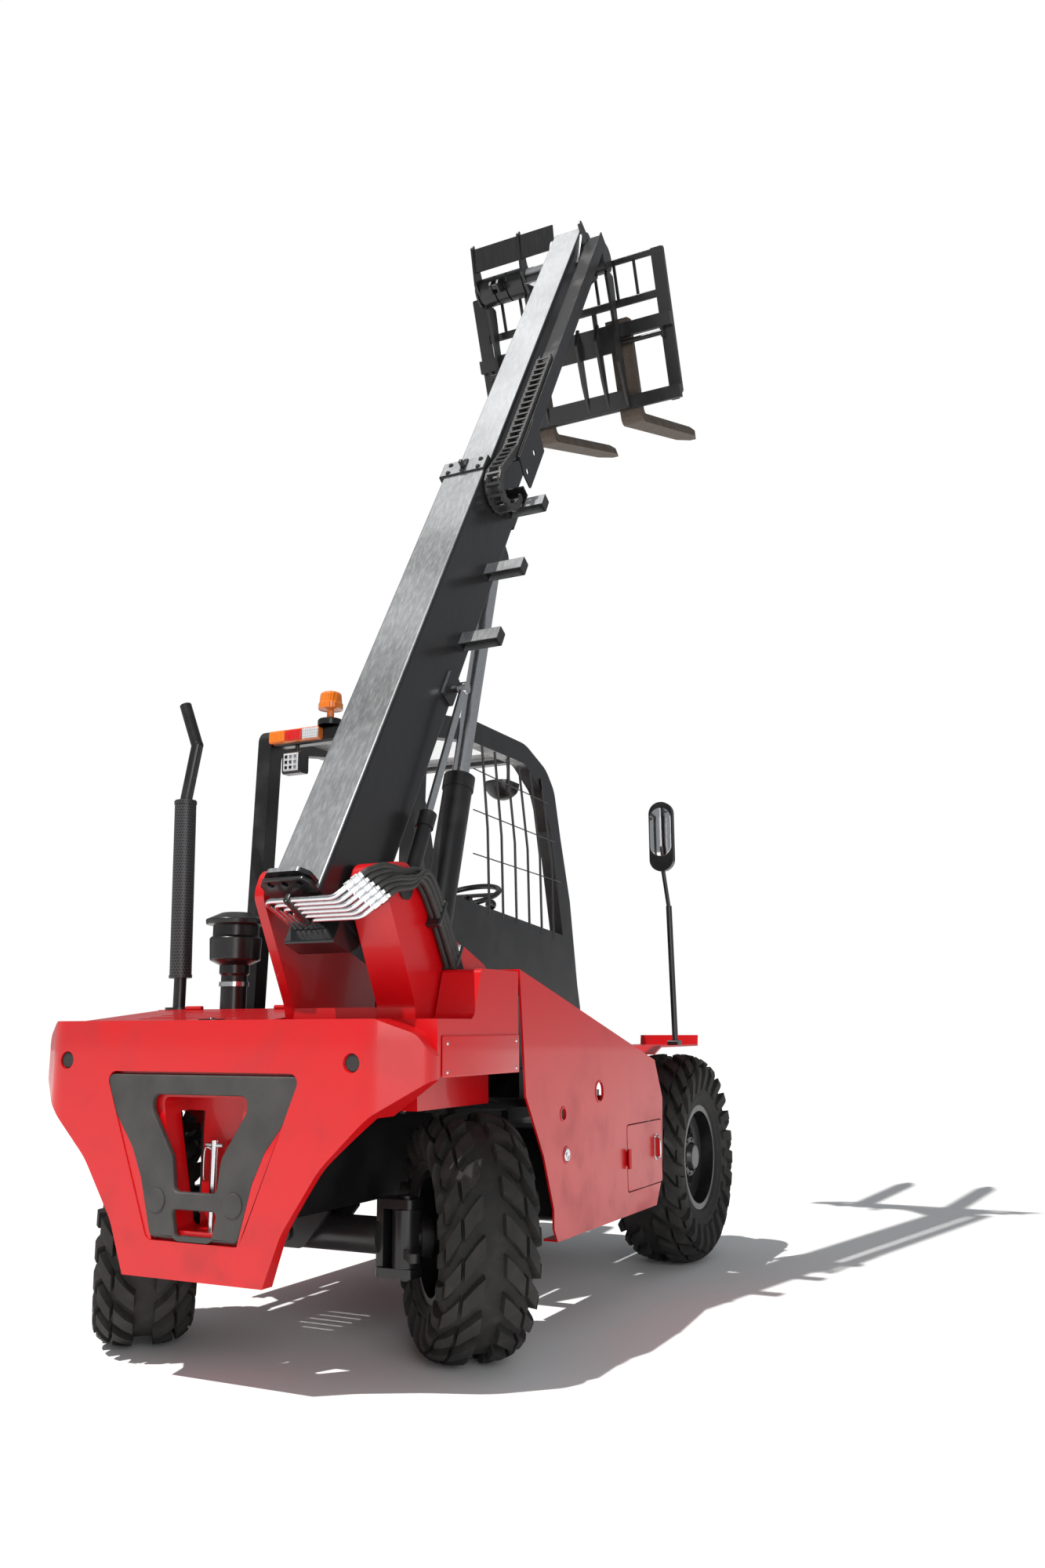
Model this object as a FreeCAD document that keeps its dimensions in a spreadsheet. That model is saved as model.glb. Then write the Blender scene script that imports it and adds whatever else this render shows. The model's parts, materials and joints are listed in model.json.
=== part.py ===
"""Compact telescopic handler: a 3 t, 4.5 m boom forklift with an open operator's canopy.

Machine frame: +X forward, +Y left, +Z up, millimetres.  The origin is on the ground under the
centre of the overall box, on the machine's centre plane.  Pieces are drawn in the frame that
suits them and then placed: machine pieces with X = 0 at the rear axle, boom pieces with X along
the boom from its pivot, fork carriage pieces from the axis that the carriage tilts about.
"""
import FreeCAD, Part
import math
import os
import re
import Sketcher
from FreeCAD import Placement, Rotation, Vector

doc = FreeCAD.newDocument("telescopic_handler")
sizes = doc.addObject("Spreadsheet::Sheet", "Sizes")

# ---------------------------------------------------------------- driving dimensions
SIZES = {
    # stance
    "rear_axle_x": -1325, "wheelbase": 2180, "front_half_track": 650,
    "kingpin_y": 443, "wheel_offset": 208, "steer_angle": 43,
    "rear_tyre_r": 412.5, "rear_tyre_w": 305, "rear_rim_r": 209.5,
    "front_tyre_r": 495, "front_tyre_w": 320, "front_rim_r": 228.5,
    "rim_wall": 10, "rim_flange": 18, "hub_r": 92,
    "stub_r": 40, "shoulder": 55, "pin_gap": 0.05,
    # rear axle
    "axle_r": 62, "knuckle_r": 52, "kingpin_r": 24, "knuckle_half": 95,
    # chassis
    "rail_y": 190, "rail_thick": 20, "rail_top": 800, "sheet_thick": 8,
    "body_half": 806, "skirt_bottom": 353, "deck_z": 834,
    # counterweight
    "tail_x": -590, "weight_half": 812, "weight_top": 1150, "weight_bottom": 335,
    "weight_shoulder_z": 968, "weight_foot_half": 285, "weight_sweep": 560, "grille_deep": 30,
    # boom tower and boom
    "boom_y": -370, "pivot_x": -375, "pivot_z": 1575, "boom_angle": 60, "pivot_pin_r": 40,
    "boom_width": 210, "boom_over": 200, "boom_under": 120, "boom_wall": 10,
    "inner_half": 84, "inner_low": -92, "inner_high": 163, "cleat_start": 1235, "cleat_pitch": 428,
    "boom_tail": 140, "boom_outer_end": 2176, "boom_inner_end": 4344, "slide_gap": 6,
    "inner_overlap": 620, "tower_left_y": -112, "tower_right_y": -644, "column_in_y": -494,
    # cylinders
    "lift_foot_x": 136, "lift_foot_z": 925, "lift_eye_x": 1950, "lift_eye_z": -200,
    "lift_barrel_r": 60, "lift_rod_r": 36, "lift_barrel_len": 1255,
    "comp_y": -535, "comp_foot_x": -190, "comp_foot_z": 1585, "comp_eye_x": 1028,
    "comp_eye_z": -85, "comp_barrel_r": 28, "comp_rod_r": 15, "comp_barrel_len": 330,
    # energy chain
    "link_pitch": 46, "link_half": 38, "link_rise": 16, "chain_front": 3040, "chain_run": 16,
    "chain_slope": 5, "chain_y": -151, "tray_floor": 118, "tray_right": -200,
    # head and fork carriage
    "head_x": 4319, "head_z": -25, "ear_y": 302, "carriage_y": -240, "fork_angle": 20.4,
    "drum_r": 66, "drum_left": 490, "drum_right": -300, "carriage_width": 1184,
    "sleeve_r": 80, "shift_rod_r": 14, "hitch_x": 23,
    "fork_drop": 893, "fork_reach": 88, "fork_length": 1200, "fork_spacing": 548,
    "fork_width": 128, "fork_thick": 48, "shift_rod_z": -452,
    # operator's place
    "cab_right_y": -168, "cab_left_y": 672, "cab_floor_z": 930, "canopy_top": 2510,
    "canopy_width": 70,
    # engine
    "door_rear": 1167, "engine_half": 160, "hood_top": 1190, "hood_hinge_x": 56,
    "hood_hinge_z": 1202,
}

FUNCTIONS = {"sin", "cos", "tan", "atan2", "sqrt"}
NAME = re.compile(r"[a-z_]\w*")


def fill_sheet():
    """Write every driving dimension to the sheet as a plain number with its name as alias."""
    for row, (name, value) in enumerate(SIZES.items(), start=1):
        sizes.set(f"A{row}", name)
        sizes.set(f"B{row}", str(value))
        sizes.setAlias(f"B{row}", name)
    doc.recompute()


def linked(formula):
    """A formula in sheet names, as FreeCAD writes it."""
    return NAME.sub(lambda m: m[0] if m[0] in FUNCTIONS else "Sizes." + m[0], str(formula))


def value(formula):
    """The present value of a formula, in millimetres or degrees."""
    result = sizes.evalExpression(linked(formula))
    return float(getattr(result, "Value", result))


def bind(item, prop, formula):
    """Bind one property to a formula, or set it when the formula names no size."""
    if NAME.search(str(formula)):
        item.setExpression(prop, linked(formula))
    elif prop.startswith("Placement"):
        item.setExpression(prop, str(formula))
    else:
        setattr(item, prop, value(formula))


# ---------------------------------------------------------------- sketching
def add_outline(sketch, corners):
    """A closed outline: corners are (x, y) or (x, y, radius) formulas, each fully constrained."""
    count = len(corners)
    points = [Vector(value(c[0]), value(c[1]), 0) for c in corners]
    radii = [value(c[2]) if len(c) > 2 else 0 for c in corners]
    base = sketch.GeometryCount
    shapes, rules, formulas = [], [], []
    into, away, turns = [], [], []
    for i in range(count):
        back = (points[i - 1] - points[i]).normalize()
        ahead = (points[(i + 1) % count] - points[i]).normalize()
        reach = radii[i] / math.tan(back.getAngle(ahead) / 2) if radii[i] else 0
        into.append(points[i] + back * reach)
        away.append(points[i] + ahead * reach)
        turns.append((back, ahead))
    for i in range(count):
        shapes.append(Part.LineSegment(away[i], into[(i + 1) % count]))
    for i, corner in enumerate(corners):
        before, after = base + (i - 1) % count, base + i
        if radii[i]:
            back, ahead = turns[i]
            half = back.getAngle(ahead) / 2
            centre = points[i] + (back + ahead).normalize() * (radii[i] / math.sin(half))
            start, end = into[i] - centre, away[i] - centre
            angles = [math.atan2(start.y, start.x), math.atan2(end.y, end.x)]
            first, last = 1, 2
            if back.cross(ahead).z > 0:
                angles.reverse()
                first, last = 2, 1
            circle = Part.Circle(centre, Vector(0, 0, 1), radii[i])
            shapes.append(Part.ArcOfCircle(circle, *angles))
            arc = base + len(shapes) - 1
            shapes.append(Part.Point(points[i]))
            mark = base + len(shapes) - 1
            rules += [Sketcher.Constraint("Tangent", before, 2, arc, first),
                      Sketcher.Constraint("Tangent", arc, last, after, 1),
                      Sketcher.Constraint("PointOnObject", mark, 1, before),
                      Sketcher.Constraint("PointOnObject", mark, 1, after)]
            formulas.append((len(rules), corner[2]))
            rules.append(Sketcher.Constraint("Radius", arc, radii[i]))
        else:
            rules.append(Sketcher.Constraint("Coincident", before, 2, after, 1))
            mark = after
        for kind, formula, place in (("DistanceX", corner[0], points[i].x),
                                     ("DistanceY", corner[1], points[i].y)):
            formulas.append((len(rules), formula))
            rules.append(Sketcher.Constraint(kind, -1, 1, mark, 1, place))
    settle(sketch, base, shapes, rules, formulas)


def add_circle(sketch, x, y, radius):
    """A circle whose centre and radius are formulas."""
    base = sketch.GeometryCount
    centre = Vector(value(x), value(y), 0)
    shapes = [Part.Circle(centre, Vector(0, 0, 1), value(radius))]
    rules = [Sketcher.Constraint("Radius", base, value(radius)),
             Sketcher.Constraint("DistanceX", -1, 1, base, 3, centre.x),
             Sketcher.Constraint("DistanceY", -1, 1, base, 3, centre.y)]
    settle(sketch, base, shapes, rules, [(0, radius), (1, x), (2, y)])


def settle(sketch, base, shapes, rules, formulas):
    """Add geometry and constraints at once, then bind the constraints that name a size."""
    first = len(sketch.Constraints)
    sketch.addGeometry(shapes, False)
    for number, shape in enumerate(shapes):
        if isinstance(shape, Part.Point):
            sketch.setConstruction(base + number, True)
    sketch.addConstraint(rules)
    for number, formula in formulas:
        if NAME.search(str(formula)):
            sketch.setExpression(f"Constraints[{first + number}]", linked(formula))


def circle(x, y, radius):
    return ("circle", x, y, radius)


# the sign that turns a plane's distance into an offset along its sketch's normal
NORMAL = {"XY": 1, "XZ": -1, "YZ": 1}


def new_sketch(body, plane, offset, outlines):
    """A sketch on one of the body's own planes, moved to a place along that plane's axis."""
    support = next(f for f in body.Origin.OriginFeatures if f.Role == plane + "_Plane")
    sketch = body.newObject("Sketcher::SketchObject", body.Name + "_sketch")
    sketch.AttachmentSupport = (support, [""])
    sketch.MapMode = "FlatFace"
    sign = "-" if NORMAL[plane] < 0 else ""
    sketch.setExpression("AttachmentOffset.Base.z", linked(f"{sign}({offset})"))
    for outline in outlines:
        if outline[0] == "circle":
            add_circle(sketch, *outline[1:])
        else:
            add_outline(sketch, outline)
    return sketch


def new_body(name):
    body = doc.addObject("PartDesign::Body", name)
    body.Label = name
    return body


def pad(body, plane, low, high, *outlines):
    """Material between two places along the plane's axis, in the shape of the outlines."""
    start = high if NORMAL[plane] < 0 else low
    feature = body.newObject("PartDesign::Pad", body.Name + "_pad")
    feature.Profile = new_sketch(body, plane, start, outlines)
    bind(feature, "Length", f"({high}) - ({low})")
    return feature


def pocket(body, plane, low, high, *outlines):
    """Take material away between two places along the plane's axis."""
    start = low if NORMAL[plane] < 0 else high
    sketch = new_sketch(body, plane, start, outlines)
    doc.recompute()
    before = body.Shape.Volume
    feature = body.newObject("PartDesign::Pocket", body.Name + "_pocket")
    feature.Profile = sketch
    bind(feature, "Length", f"({high}) - ({low})")
    doc.recompute()
    if body.Shape.Volume >= before:
        raise RuntimeError(f"a pocket in {body.Label} cuts nothing")
    return feature


def revolve(body, plane, axis, *outlines):
    """Material turned all round the sketch's own H_Axis or V_Axis."""
    sketch = new_sketch(body, plane, 0, outlines)
    feature = body.newObject("PartDesign::Revolution", body.Name + "_turn")
    feature.Profile = sketch
    feature.ReferenceAxis = (sketch, [axis])
    feature.Angle = 360
    return feature


def box_outline(x_low, y_low, x_high, y_high, *radius):
    """A rectangle, its corners rounded when a radius is given."""
    return [(x_low, y_low, *radius), (x_high, y_low, *radius),
            (x_high, y_high, *radius), (x_low, y_high, *radius)]


def bar(name, plane, low, high, *outlines):
    """A body made of one pad."""
    body = new_body(name)
    pad(body, plane, low, high, *outlines)
    return body


def rod(name, radius, start, end):
    """A round bar between two points given as formulas."""
    a = Vector(*(value(f) for f in start))
    b = Vector(*(value(f) for f in end))
    piece = doc.addObject("Part::Cylinder", name)
    bind(piece, "Radius", radius)
    span = [f"(({e}) - ({s}))" for s, e in zip(start, end)]
    bind(piece, "Height", "sqrt(" + " + ".join(f"{d}^2" for d in span) + ")")
    turn = Rotation(Vector(0, 0, 1), b - a)
    piece.Placement = Placement(a, turn)
    for letter, formula in zip("xyz", start):
        bind(piece, f"Placement.Base.{letter}", formula)
    return piece


def fused(name, pieces):
    """One solid from several touching ones."""
    whole = doc.addObject("Part::MultiFuse", name)
    whole.Label = name
    whole.Shapes = pieces
    return whole


def grouped(name, pieces):
    """Separate solids that share a node."""
    whole = doc.addObject("Part::Compound", name)
    whole.Label = name
    whole.Links = pieces
    return whole


def cut(name, base, tool):
    whole = doc.addObject("Part::Cut", name)
    whole.Label = name
    whole.Base = base
    whole.Tool = tool
    return whole


# ---------------------------------------------------------------- where pieces stand
PITCH_UP = Vector(0, -1, 0)
HEAD = {
    "x": "rear_axle_x + pivot_x + head_x*cos(boom_angle) - head_z*sin(boom_angle)",
    "z": "pivot_z + head_x*sin(boom_angle) + head_z*cos(boom_angle)",
}
LIFT_EYE = {
    "x": "(pivot_x + lift_eye_x*cos(boom_angle) - lift_eye_z*sin(boom_angle))",
    "z": "(pivot_z + lift_eye_x*sin(boom_angle) + lift_eye_z*cos(boom_angle))",
}
COMP_EYE = {
    "x": "(pivot_x + comp_eye_x*cos(boom_angle) - comp_eye_z*sin(boom_angle))",
    "z": "(pivot_z + comp_eye_x*sin(boom_angle) + comp_eye_z*cos(boom_angle))",
}
FRAMES = {
    "machine": ("rear_axle_x", "0", "0", None, None),
    "boom": ("rear_axle_x + pivot_x", "boom_y", "pivot_z", PITCH_UP, "boom_angle"),
    "carriage": (HEAD["x"], "carriage_y", HEAD["z"], PITCH_UP, "fork_angle"),
    "right knuckle": ("rear_axle_x", "-kingpin_y", "rear_tyre_r", Vector(0, 0, 1), "steer_angle"),
    "left knuckle": ("rear_axle_x", "kingpin_y", "rear_tyre_r", Vector(0, 0, 1), "steer_angle"),
    "front right": ("rear_axle_x + wheelbase", "-front_half_track", "front_tyre_r", None, None),
    "front left": ("rear_axle_x + wheelbase", "front_half_track", "front_tyre_r", None, None),
    "lift": ("rear_axle_x + lift_foot_x", "boom_y", "lift_foot_z", PITCH_UP,
             f"atan2({LIFT_EYE['z']} - lift_foot_z; {LIFT_EYE['x']} - lift_foot_x)"),
    "comp": ("rear_axle_x + comp_foot_x", "comp_y", "comp_foot_z", PITCH_UP,
             f"atan2({COMP_EYE['z']} - comp_foot_z; {COMP_EYE['x']} - comp_foot_x)"),
}
nodes = {}


def stand(piece, frame):
    """Place a finished sub-part in its frame and list it as a node."""
    x, y, z, axis, angle = FRAMES[frame]
    if axis:
        piece.Placement = Placement(Vector(), Rotation(axis, value(angle)))
        piece.setExpression("Placement.Rotation.Angle", linked(angle))
    for letter, formula in (("x", x), ("y", y), ("z", z)):
        piece.setExpression(f"Placement.Base.{letter}", linked(formula))
    nodes[piece.Label] = piece
    return piece


SIDES = (("right", -1), ("left", 1))

# ---------------------------------------------------------------- chassis and counterweight
def mirrored(corners):
    """The same outline on the other side of the sketch's vertical axis."""
    return [(f"-({c[0]})", *c[1:]) for c in corners]


def make_counterweight():
    body = new_body("counterweight")
    plan = [("tail_x", "-650", 130), ("-470", "-weight_half", 70), ("-426", "-weight_half"),
            ("-426", "-200"), ("-340", "-200"), ("-340", "200"), ("-426", "200"),
            ("-426", "weight_half"), ("-470", "weight_half", 70), ("tail_x", "650", 130)]
    pad(body, "XY", "weight_bottom", "weight_top", plan)
    arch = [("weight_foot_half", "weight_bottom - 10"), ("weight_foot_half", "weight_bottom"),
            ("350", "500", 200), ("484", "695", 300), ("weight_half - 157", "855", 200),
            ("weight_half + 6", "weight_shoulder_z"), ("weight_half + 40", "weight_shoulder_z"),
            ("weight_half + 40", "weight_bottom - 10")]
    pocket(body, "YZ", "tail_x - 10", "-330", arch, mirrored(arch))
    pocket(body, "XY", "weight_bottom - 5", "rear_tyre_r*2 + 25",
           circle(0, "kingpin_y", "weight_sweep"), circle(0, "-kingpin_y", "weight_sweep"))
    pocket(body, "XY", "1080", "weight_top + 1", box_outline("-426", "-201", "-339", "201"))
    top = [("weight_half - 150", "weight_top + 1"), ("weight_half + 10", "weight_top + 1"),
           ("weight_half + 10", "weight_shoulder_z + 50"), ("weight_half - 40", "weight_top - 48", 60)]
    pocket(body, "YZ", "tail_x - 10", "-420", top, mirrored(top))
    grille = [("-408", "982", 30), ("-190", "450", 30), ("190", "450", 30), ("408", "982", 30)]
    pocket(body, "YZ", "tail_x", "tail_x + grille_deep", grille)
    well = [("-170", "900", 20), ("-110", "480", 20), ("110", "480", 20), ("170", "900", 20)]
    pocket(body, "YZ", "tail_x", "tail_x + 150", well)
    pocket(body, "YZ", "tail_x", "tail_x + 14", circle(-594, 1016, 30), circle(594, 1016, 30))
    return stand(body, "machine")


def make_grille():
    body = new_body("rear_grille")
    inner = [("-405", "979", 27), ("-188", "453", 27), ("188", "453", 27), ("405", "979", 27)]
    pad(body, "YZ", "tail_x + 2", "tail_x + grille_deep", inner)
    window = [("-205", "905", 20), ("-150", "760", 20), ("-115", "620", 20), ("-100", "575", 15),
              ("100", "575", 15), ("115", "620", 20), ("150", "760", 20), ("205", "905", 20)]
    slot_low = [("-100", "520", 8), ("-95", "478", 8), ("95", "478", 8), ("100", "520", 8)]
    pocket(body, "YZ", "tail_x - 1", "tail_x + grille_deep + 1", window, slot_low)
    return stand(body, "machine")


def make_tow_pin():
    pin = rod("tow_pin_shank", 13, ("tail_x + 95", "0", "480"), ("tail_x + 95", "0", "760"))
    grip = rod("tow_pin_grip", 8, ("tail_x + 95", "-35", "745"), ("tail_x + 95", "35", "745"))
    return stand(fused("tow_pin", [pin, grip]), "machine")


def make_chassis():
    rail = [("-340", "500"), ("1960", "500", 60), ("2040", "610", 30), ("2340", "610"),
            ("2340", "rail_top"), ("520", "rail_top", 80), ("260", "1100"), ("-300", "1100"),
            ("-340", "1040")]
    pieces = [bar("rail_right", "XZ", "-rail_y", "rail_thick - rail_y", rail),
              bar("rail_left", "XZ", "rail_y - rail_thick", "rail_y", rail)]
    inside = ("rail_thick - rail_y", "rail_y - rail_thick")
    for number, (x_low, x_high, z_low, z_high) in enumerate((
            (-340, -320, 500, 900), (-250, -200, 500, 520), (250, 300, 500, 520),
            (700, 720, 500, 780), (1500, 1520, 500, 780), (2320, 2340, 610, 780),
            (460, 1960, 500, 508))):
        plate = box_outline(x_low, z_low, x_high, z_high)
        pieces.append(bar(f"cross_member_{number}", "XZ", *inside, plate))
    for number, x_low in enumerate((-100, 80)):
        hanger = new_body(f"axle_hanger_{number}")
        pad(hanger, "YZ", x_low, x_low + 20,
            [("-180", "518"), ("-180", "490"), ("-75", "365", 40), ("75", "365", 40),
             ("180", "490"), ("180", "518")])
        pocket(hanger, "YZ", x_low - 1, x_low + 21, circle(0, "rear_tyre_r", "28 + pin_gap"))
        pieces.append(hanger)
    for number, x_low in enumerate((640, 1440)):
        for side, sign in SIDES:
            arm = box_outline(x_low, "deck_z - 74", x_low + 60, "deck_z - 34")
            low, high = ("-480", "-rail_y") if sign < 0 else ("rail_y", "body_half - 158")
            pieces.append(bar(f"outrigger_{number}_{side}", "XZ", low, high, arm))
    return stand(fused("chassis_frame", pieces), "machine")


def make_engine():
    body = new_body("engine_block")
    block = [("-310", "521", 20), ("340", "521", 20), ("340", "900", 40), ("220", "1080", 30),
             ("-310", "1080", 30)]
    pad(body, "XZ", "-engine_half", "engine_half", block)
    return stand(body, "machine")


def make_rear_axle():
    beam = rod("axle_beam", "axle_r", ("0", "-kingpin_y + 92", "rear_tyre_r"),
               ("0", "kingpin_y - 92", "rear_tyre_r"))
    pivot = rod("axle_pivot", 28, ("-112", "0", "rear_tyre_r"), ("112", "0", "rear_tyre_r"))
    pieces = [beam, pivot]
    for side, sign in SIDES:
        def out(distance):
            return f"{sign}*(kingpin_y + ({distance}))"
        web = box_outline(-34, "rear_tyre_r - knuckle_half - 34", 34,
                          "rear_tyre_r + knuckle_half + 34")
        spots = (out(-104), out(-76))
        low, high = spots if sign > 0 else spots[::-1]
        pieces.append(bar(f"axle_web_{side}", "XZ", low, high, web))
        for level, start in (("top", "rear_tyre_r + knuckle_half + 2"),
                             ("bottom", "rear_tyre_r - knuckle_half - 34")):
            ear = new_body(f"axle_ear_{side}_{level}")
            ends = (out(-104), out(46)) if sign > 0 else (out(46), out(-104))
            pad(ear, "XY", start, f"{start} + 32",
                [("-46", ends[0], 20), ("46", ends[0], 20), ("46", ends[1], 20),
                 ("-46", ends[1], 20)])
            pieces.append(ear)
        pieces.append(rod(f"kingpin_{side}", "kingpin_r",
                          ("0", out(0), "rear_tyre_r - knuckle_half - 44"),
                          ("0", out(0), "rear_tyre_r + knuckle_half + 44")))
    return stand(fused("rear_axle", pieces), "machine")


def make_knuckle(side, sign):
    """Steering knuckle about its kingpin, carrying the stub axle of the rear wheel."""
    barrel = rod(f"knuckle_barrel_{side}", "knuckle_r", ("0", "0", "-knuckle_half"),
                 ("0", "0", "knuckle_half"))
    stub = rod(f"stub_{side}", "stub_r", ("0", "0", "0"), ("0", f"{sign}*(wheel_offset + 70)", "0"))
    flange = rod(f"stub_flange_{side}", 70, ("0", f"{sign}*40", "0"), ("0", f"{sign}*80", "0"))
    arm = bar(f"steering_arm_{side}", "XY", -60, -30,
              [("-150", "-18", 17), ("-30", "-22"), ("-30", "22"), ("-150", "18", 17)])
    whole = fused(f"knuckle_whole_{side}", [barrel, stub, flange, arm])
    bore = rod(f"knuckle_bore_{side}", "kingpin_r + pin_gap", ("0", "0", "-knuckle_half - 1"),
               ("0", "0", "knuckle_half + 1"))
    return stand(cut(f"knuckle_{side}", whole, bore), f"{side} knuckle")


def wheel_profile(sign, shift, width, radius, bore, disc):
    """Half section of a rim: dished disc, barrel and flanges, drawn as (axial, radial)."""
    def at(distance):
        return f"{shift} + {sign}*({distance})"
    half = f"({width})/2"
    return [(at(f"{disc} - 14"), bore), (at(f"{disc} + 14"), bore),
            (at(f"{disc} + 14"), f"{radius} - 52"), (at(f"{disc} + 34"), f"{radius} - rim_wall"),
            (at(f"{half} - 22"), f"{radius} - rim_wall"), (at(f"{half} - 22"), f"{radius} + rim_flange"),
            (at(f"{half} - 32"), f"{radius} + rim_flange"), (at(f"{half} - 32"), radius),
            (at(f"32 - {half}"), radius), (at(f"32 - {half}"), f"{radius} + rim_flange"),
            (at(f"22 - {half}"), f"{radius} + rim_flange"),
            (at(f"22 - {half}"), f"{radius} - rim_wall"), (at(f"{disc} + 14"), f"{radius} - rim_wall"),
            (at(f"{disc} - 14"), f"{radius} - 40")]


def tyre_profile(shift, width, radius, bore):
    """Section of a tyre: bead seat, bulged walls and square shoulders."""
    half = f"({width})/2"
    return [(f"{shift} - {half} + 33", bore), (f"{shift} + {half} - 33", bore),
            (f"{shift} + {half} - 33", f"{bore} + rim_flange + 2"),
            (f"{shift} + {half} - 12", f"{bore} + rim_flange + 10"),
            (f"{shift} + {half}", f"({radius} + {bore})/2", 30),
            (f"{shift} + {half}", f"{radius} - shoulder", 20),
            (f"{shift} + {half} - 34", radius, 18), (f"{shift} - {half} + 34", radius, 18),
            (f"{shift} - {half}", f"{radius} - shoulder", 20),
            (f"{shift} - {half}", f"({radius} + {bore})/2", 30),
            (f"{shift} - {half} + 12", f"{bore} + rim_flange + 10"),
            (f"{shift} - {half} + 33", f"{bore} + rim_flange + 2")]


def make_wheel(name, side, sign, frame, shift, width, radius, rim, bore, disc):
    rim_body = new_body(f"{name}_rim_{side}")
    revolve(rim_body, "YZ", "H_Axis", wheel_profile(sign, shift, width, rim, bore, disc))
    stand(rim_body, frame)
    tyre = new_body(f"{name}_tyre_{side}")
    revolve(tyre, "YZ", "H_Axis", tyre_profile(shift, width, radius, rim))
    stand(tyre, frame)


def make_front_axle():
    beam = rod("front_beam", 74, ("wheelbase", "-front_half_track + 150", "front_tyre_r"),
               ("wheelbase", "front_half_track - 150", "front_tyre_r"))
    bulge = doc.addObject("Part::Sphere", "front_differential")
    bulge.Radius = 105
    bind(bulge, "Placement.Base.x", "wheelbase")
    bind(bulge, "Placement.Base.z", "front_tyre_r - 10")
    pieces = [beam, bulge]
    for side, sign in SIDES:
        def out(distance):
            return f"{sign}*(front_half_track + ({distance}))"
        centre = ("wheelbase", "front_tyre_r")
        for piece, radius, start, end in (("hub", 110, -180, 10), ("spindle", "hub_r", 0, 75)):
            pieces.append(rod(f"front_{piece}_{side}", radius, (centre[0], out(start), centre[1]),
                              (centre[0], out(end), centre[1])))
        low, high = ("-rail_y", "-rail_y + 90") if sign < 0 else ("rail_y - 90", "rail_y")
        pieces.append(bar(f"axle_seat_{side}", "XZ", low, high,
                          box_outline("wheelbase - 90", "front_tyre_r", "wheelbase + 90", 610)))
    return stand(fused("front_axle", pieces), "machine")


# ---------------------------------------------------------------- body panels and covers
SKIRT = [("200", "880"), ("345", "663"), ("428", "470"), ("428", "403"), ("460", "skirt_bottom"),
         ("1505", "skirt_bottom"), ("1586", "467", 40), ("1613", "806", 30)]


def make_right_panel():
    outline = SKIRT + [("1522", "977", 20), ("150", "1327")]
    plate = new_body("skirt_plate")
    pad(plate, "XZ", "-body_half", "sheet_thick - body_half", outline)
    pocket(plate, "XZ", "-body_half - 1", "sheet_thick - body_half + 1",
           box_outline("838", "832", "908", "904", 30), circle(518, 802, 20), circle(543, 652, 24),
           box_outline("door_rear - 5", "442", "1590", "718", 19))
    top = bar("skirt_top", "XZ", "-body_half", "tower_right_y - 6",
              [("150", "1327"), ("150", "1319"), ("1520", "969"), ("1522", "977")])
    lip = bar("skirt_lip", "XZ", "-body_half", "60 - body_half",
              box_outline("462", "skirt_bottom", "1503", "skirt_bottom + sheet_thick"))
    nose = bar("skirt_nose", "XZ", "-body_half", "tower_right_y - 6",
               [("1603", "795"), ("1611", "795"), ("1524", "976"), ("1514", "972")])
    return stand(fused("right_side_panel", [plate, top, lip, nose]), "machine")


def make_tank():
    body = new_body("fuel_tank")
    pad(body, "XZ", "40 - body_half", "-482",
        [("575", "400", 40), ("1480", "400", 60), ("1540", "500", 40), ("1560", "759"),
         ("575", "759", 30)])
    return stand(body, "machine")


def make_rear_box():
    outline = [("-426", "weight_shoulder_z + 5"), ("142", "weight_shoulder_z + 5"),
               ("142", "1318"), ("-136", "1318", 20), ("-190", "1150", 30), ("-426", "1150")]
    inner = [("-416", "weight_shoulder_z"), ("132", "weight_shoulder_z"), ("132", "1308"),
             ("-130", "1308", 12), ("-182", "1140", 30), ("-416", "1140")]
    body = new_body("right_rear_box")
    pad(body, "XZ", "2 - body_half", "-654", outline)
    pocket(body, "XZ", "10 - body_half", "-653", inner)
    return stand(body, "machine")


def make_side_door():
    door = new_body("door_leaf")
    pad(door, "XZ", "-body_half - 1", "sheet_thick - body_half - 1",
        box_outline("door_rear", "447", "1585", "713", 14))
    grip = bar("door_grip", "XZ", "-body_half - 24", "-body_half - 7",
               box_outline("1495", "560", "1520", "640", 8))
    knuckle = rod("door_hinge", 9, ("door_rear - 9", "-body_half - 14", "540"),
                  ("door_rear - 9", "-body_half - 14", "620"))
    strap = bar("door_strap", "XZ", "-body_half - 12", "-body_half - 5",
                box_outline("door_rear - 8", "550", "door_rear + 18", "610"))
    spacer = bar("door_spacer", "XZ", "-body_half - 6", "-body_half",
                 box_outline("door_rear + 3", "550", "door_rear + 18", "610"))
    return stand(fused("side_door", [door, grip, knuckle, strap, spacer]), "machine")


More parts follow.
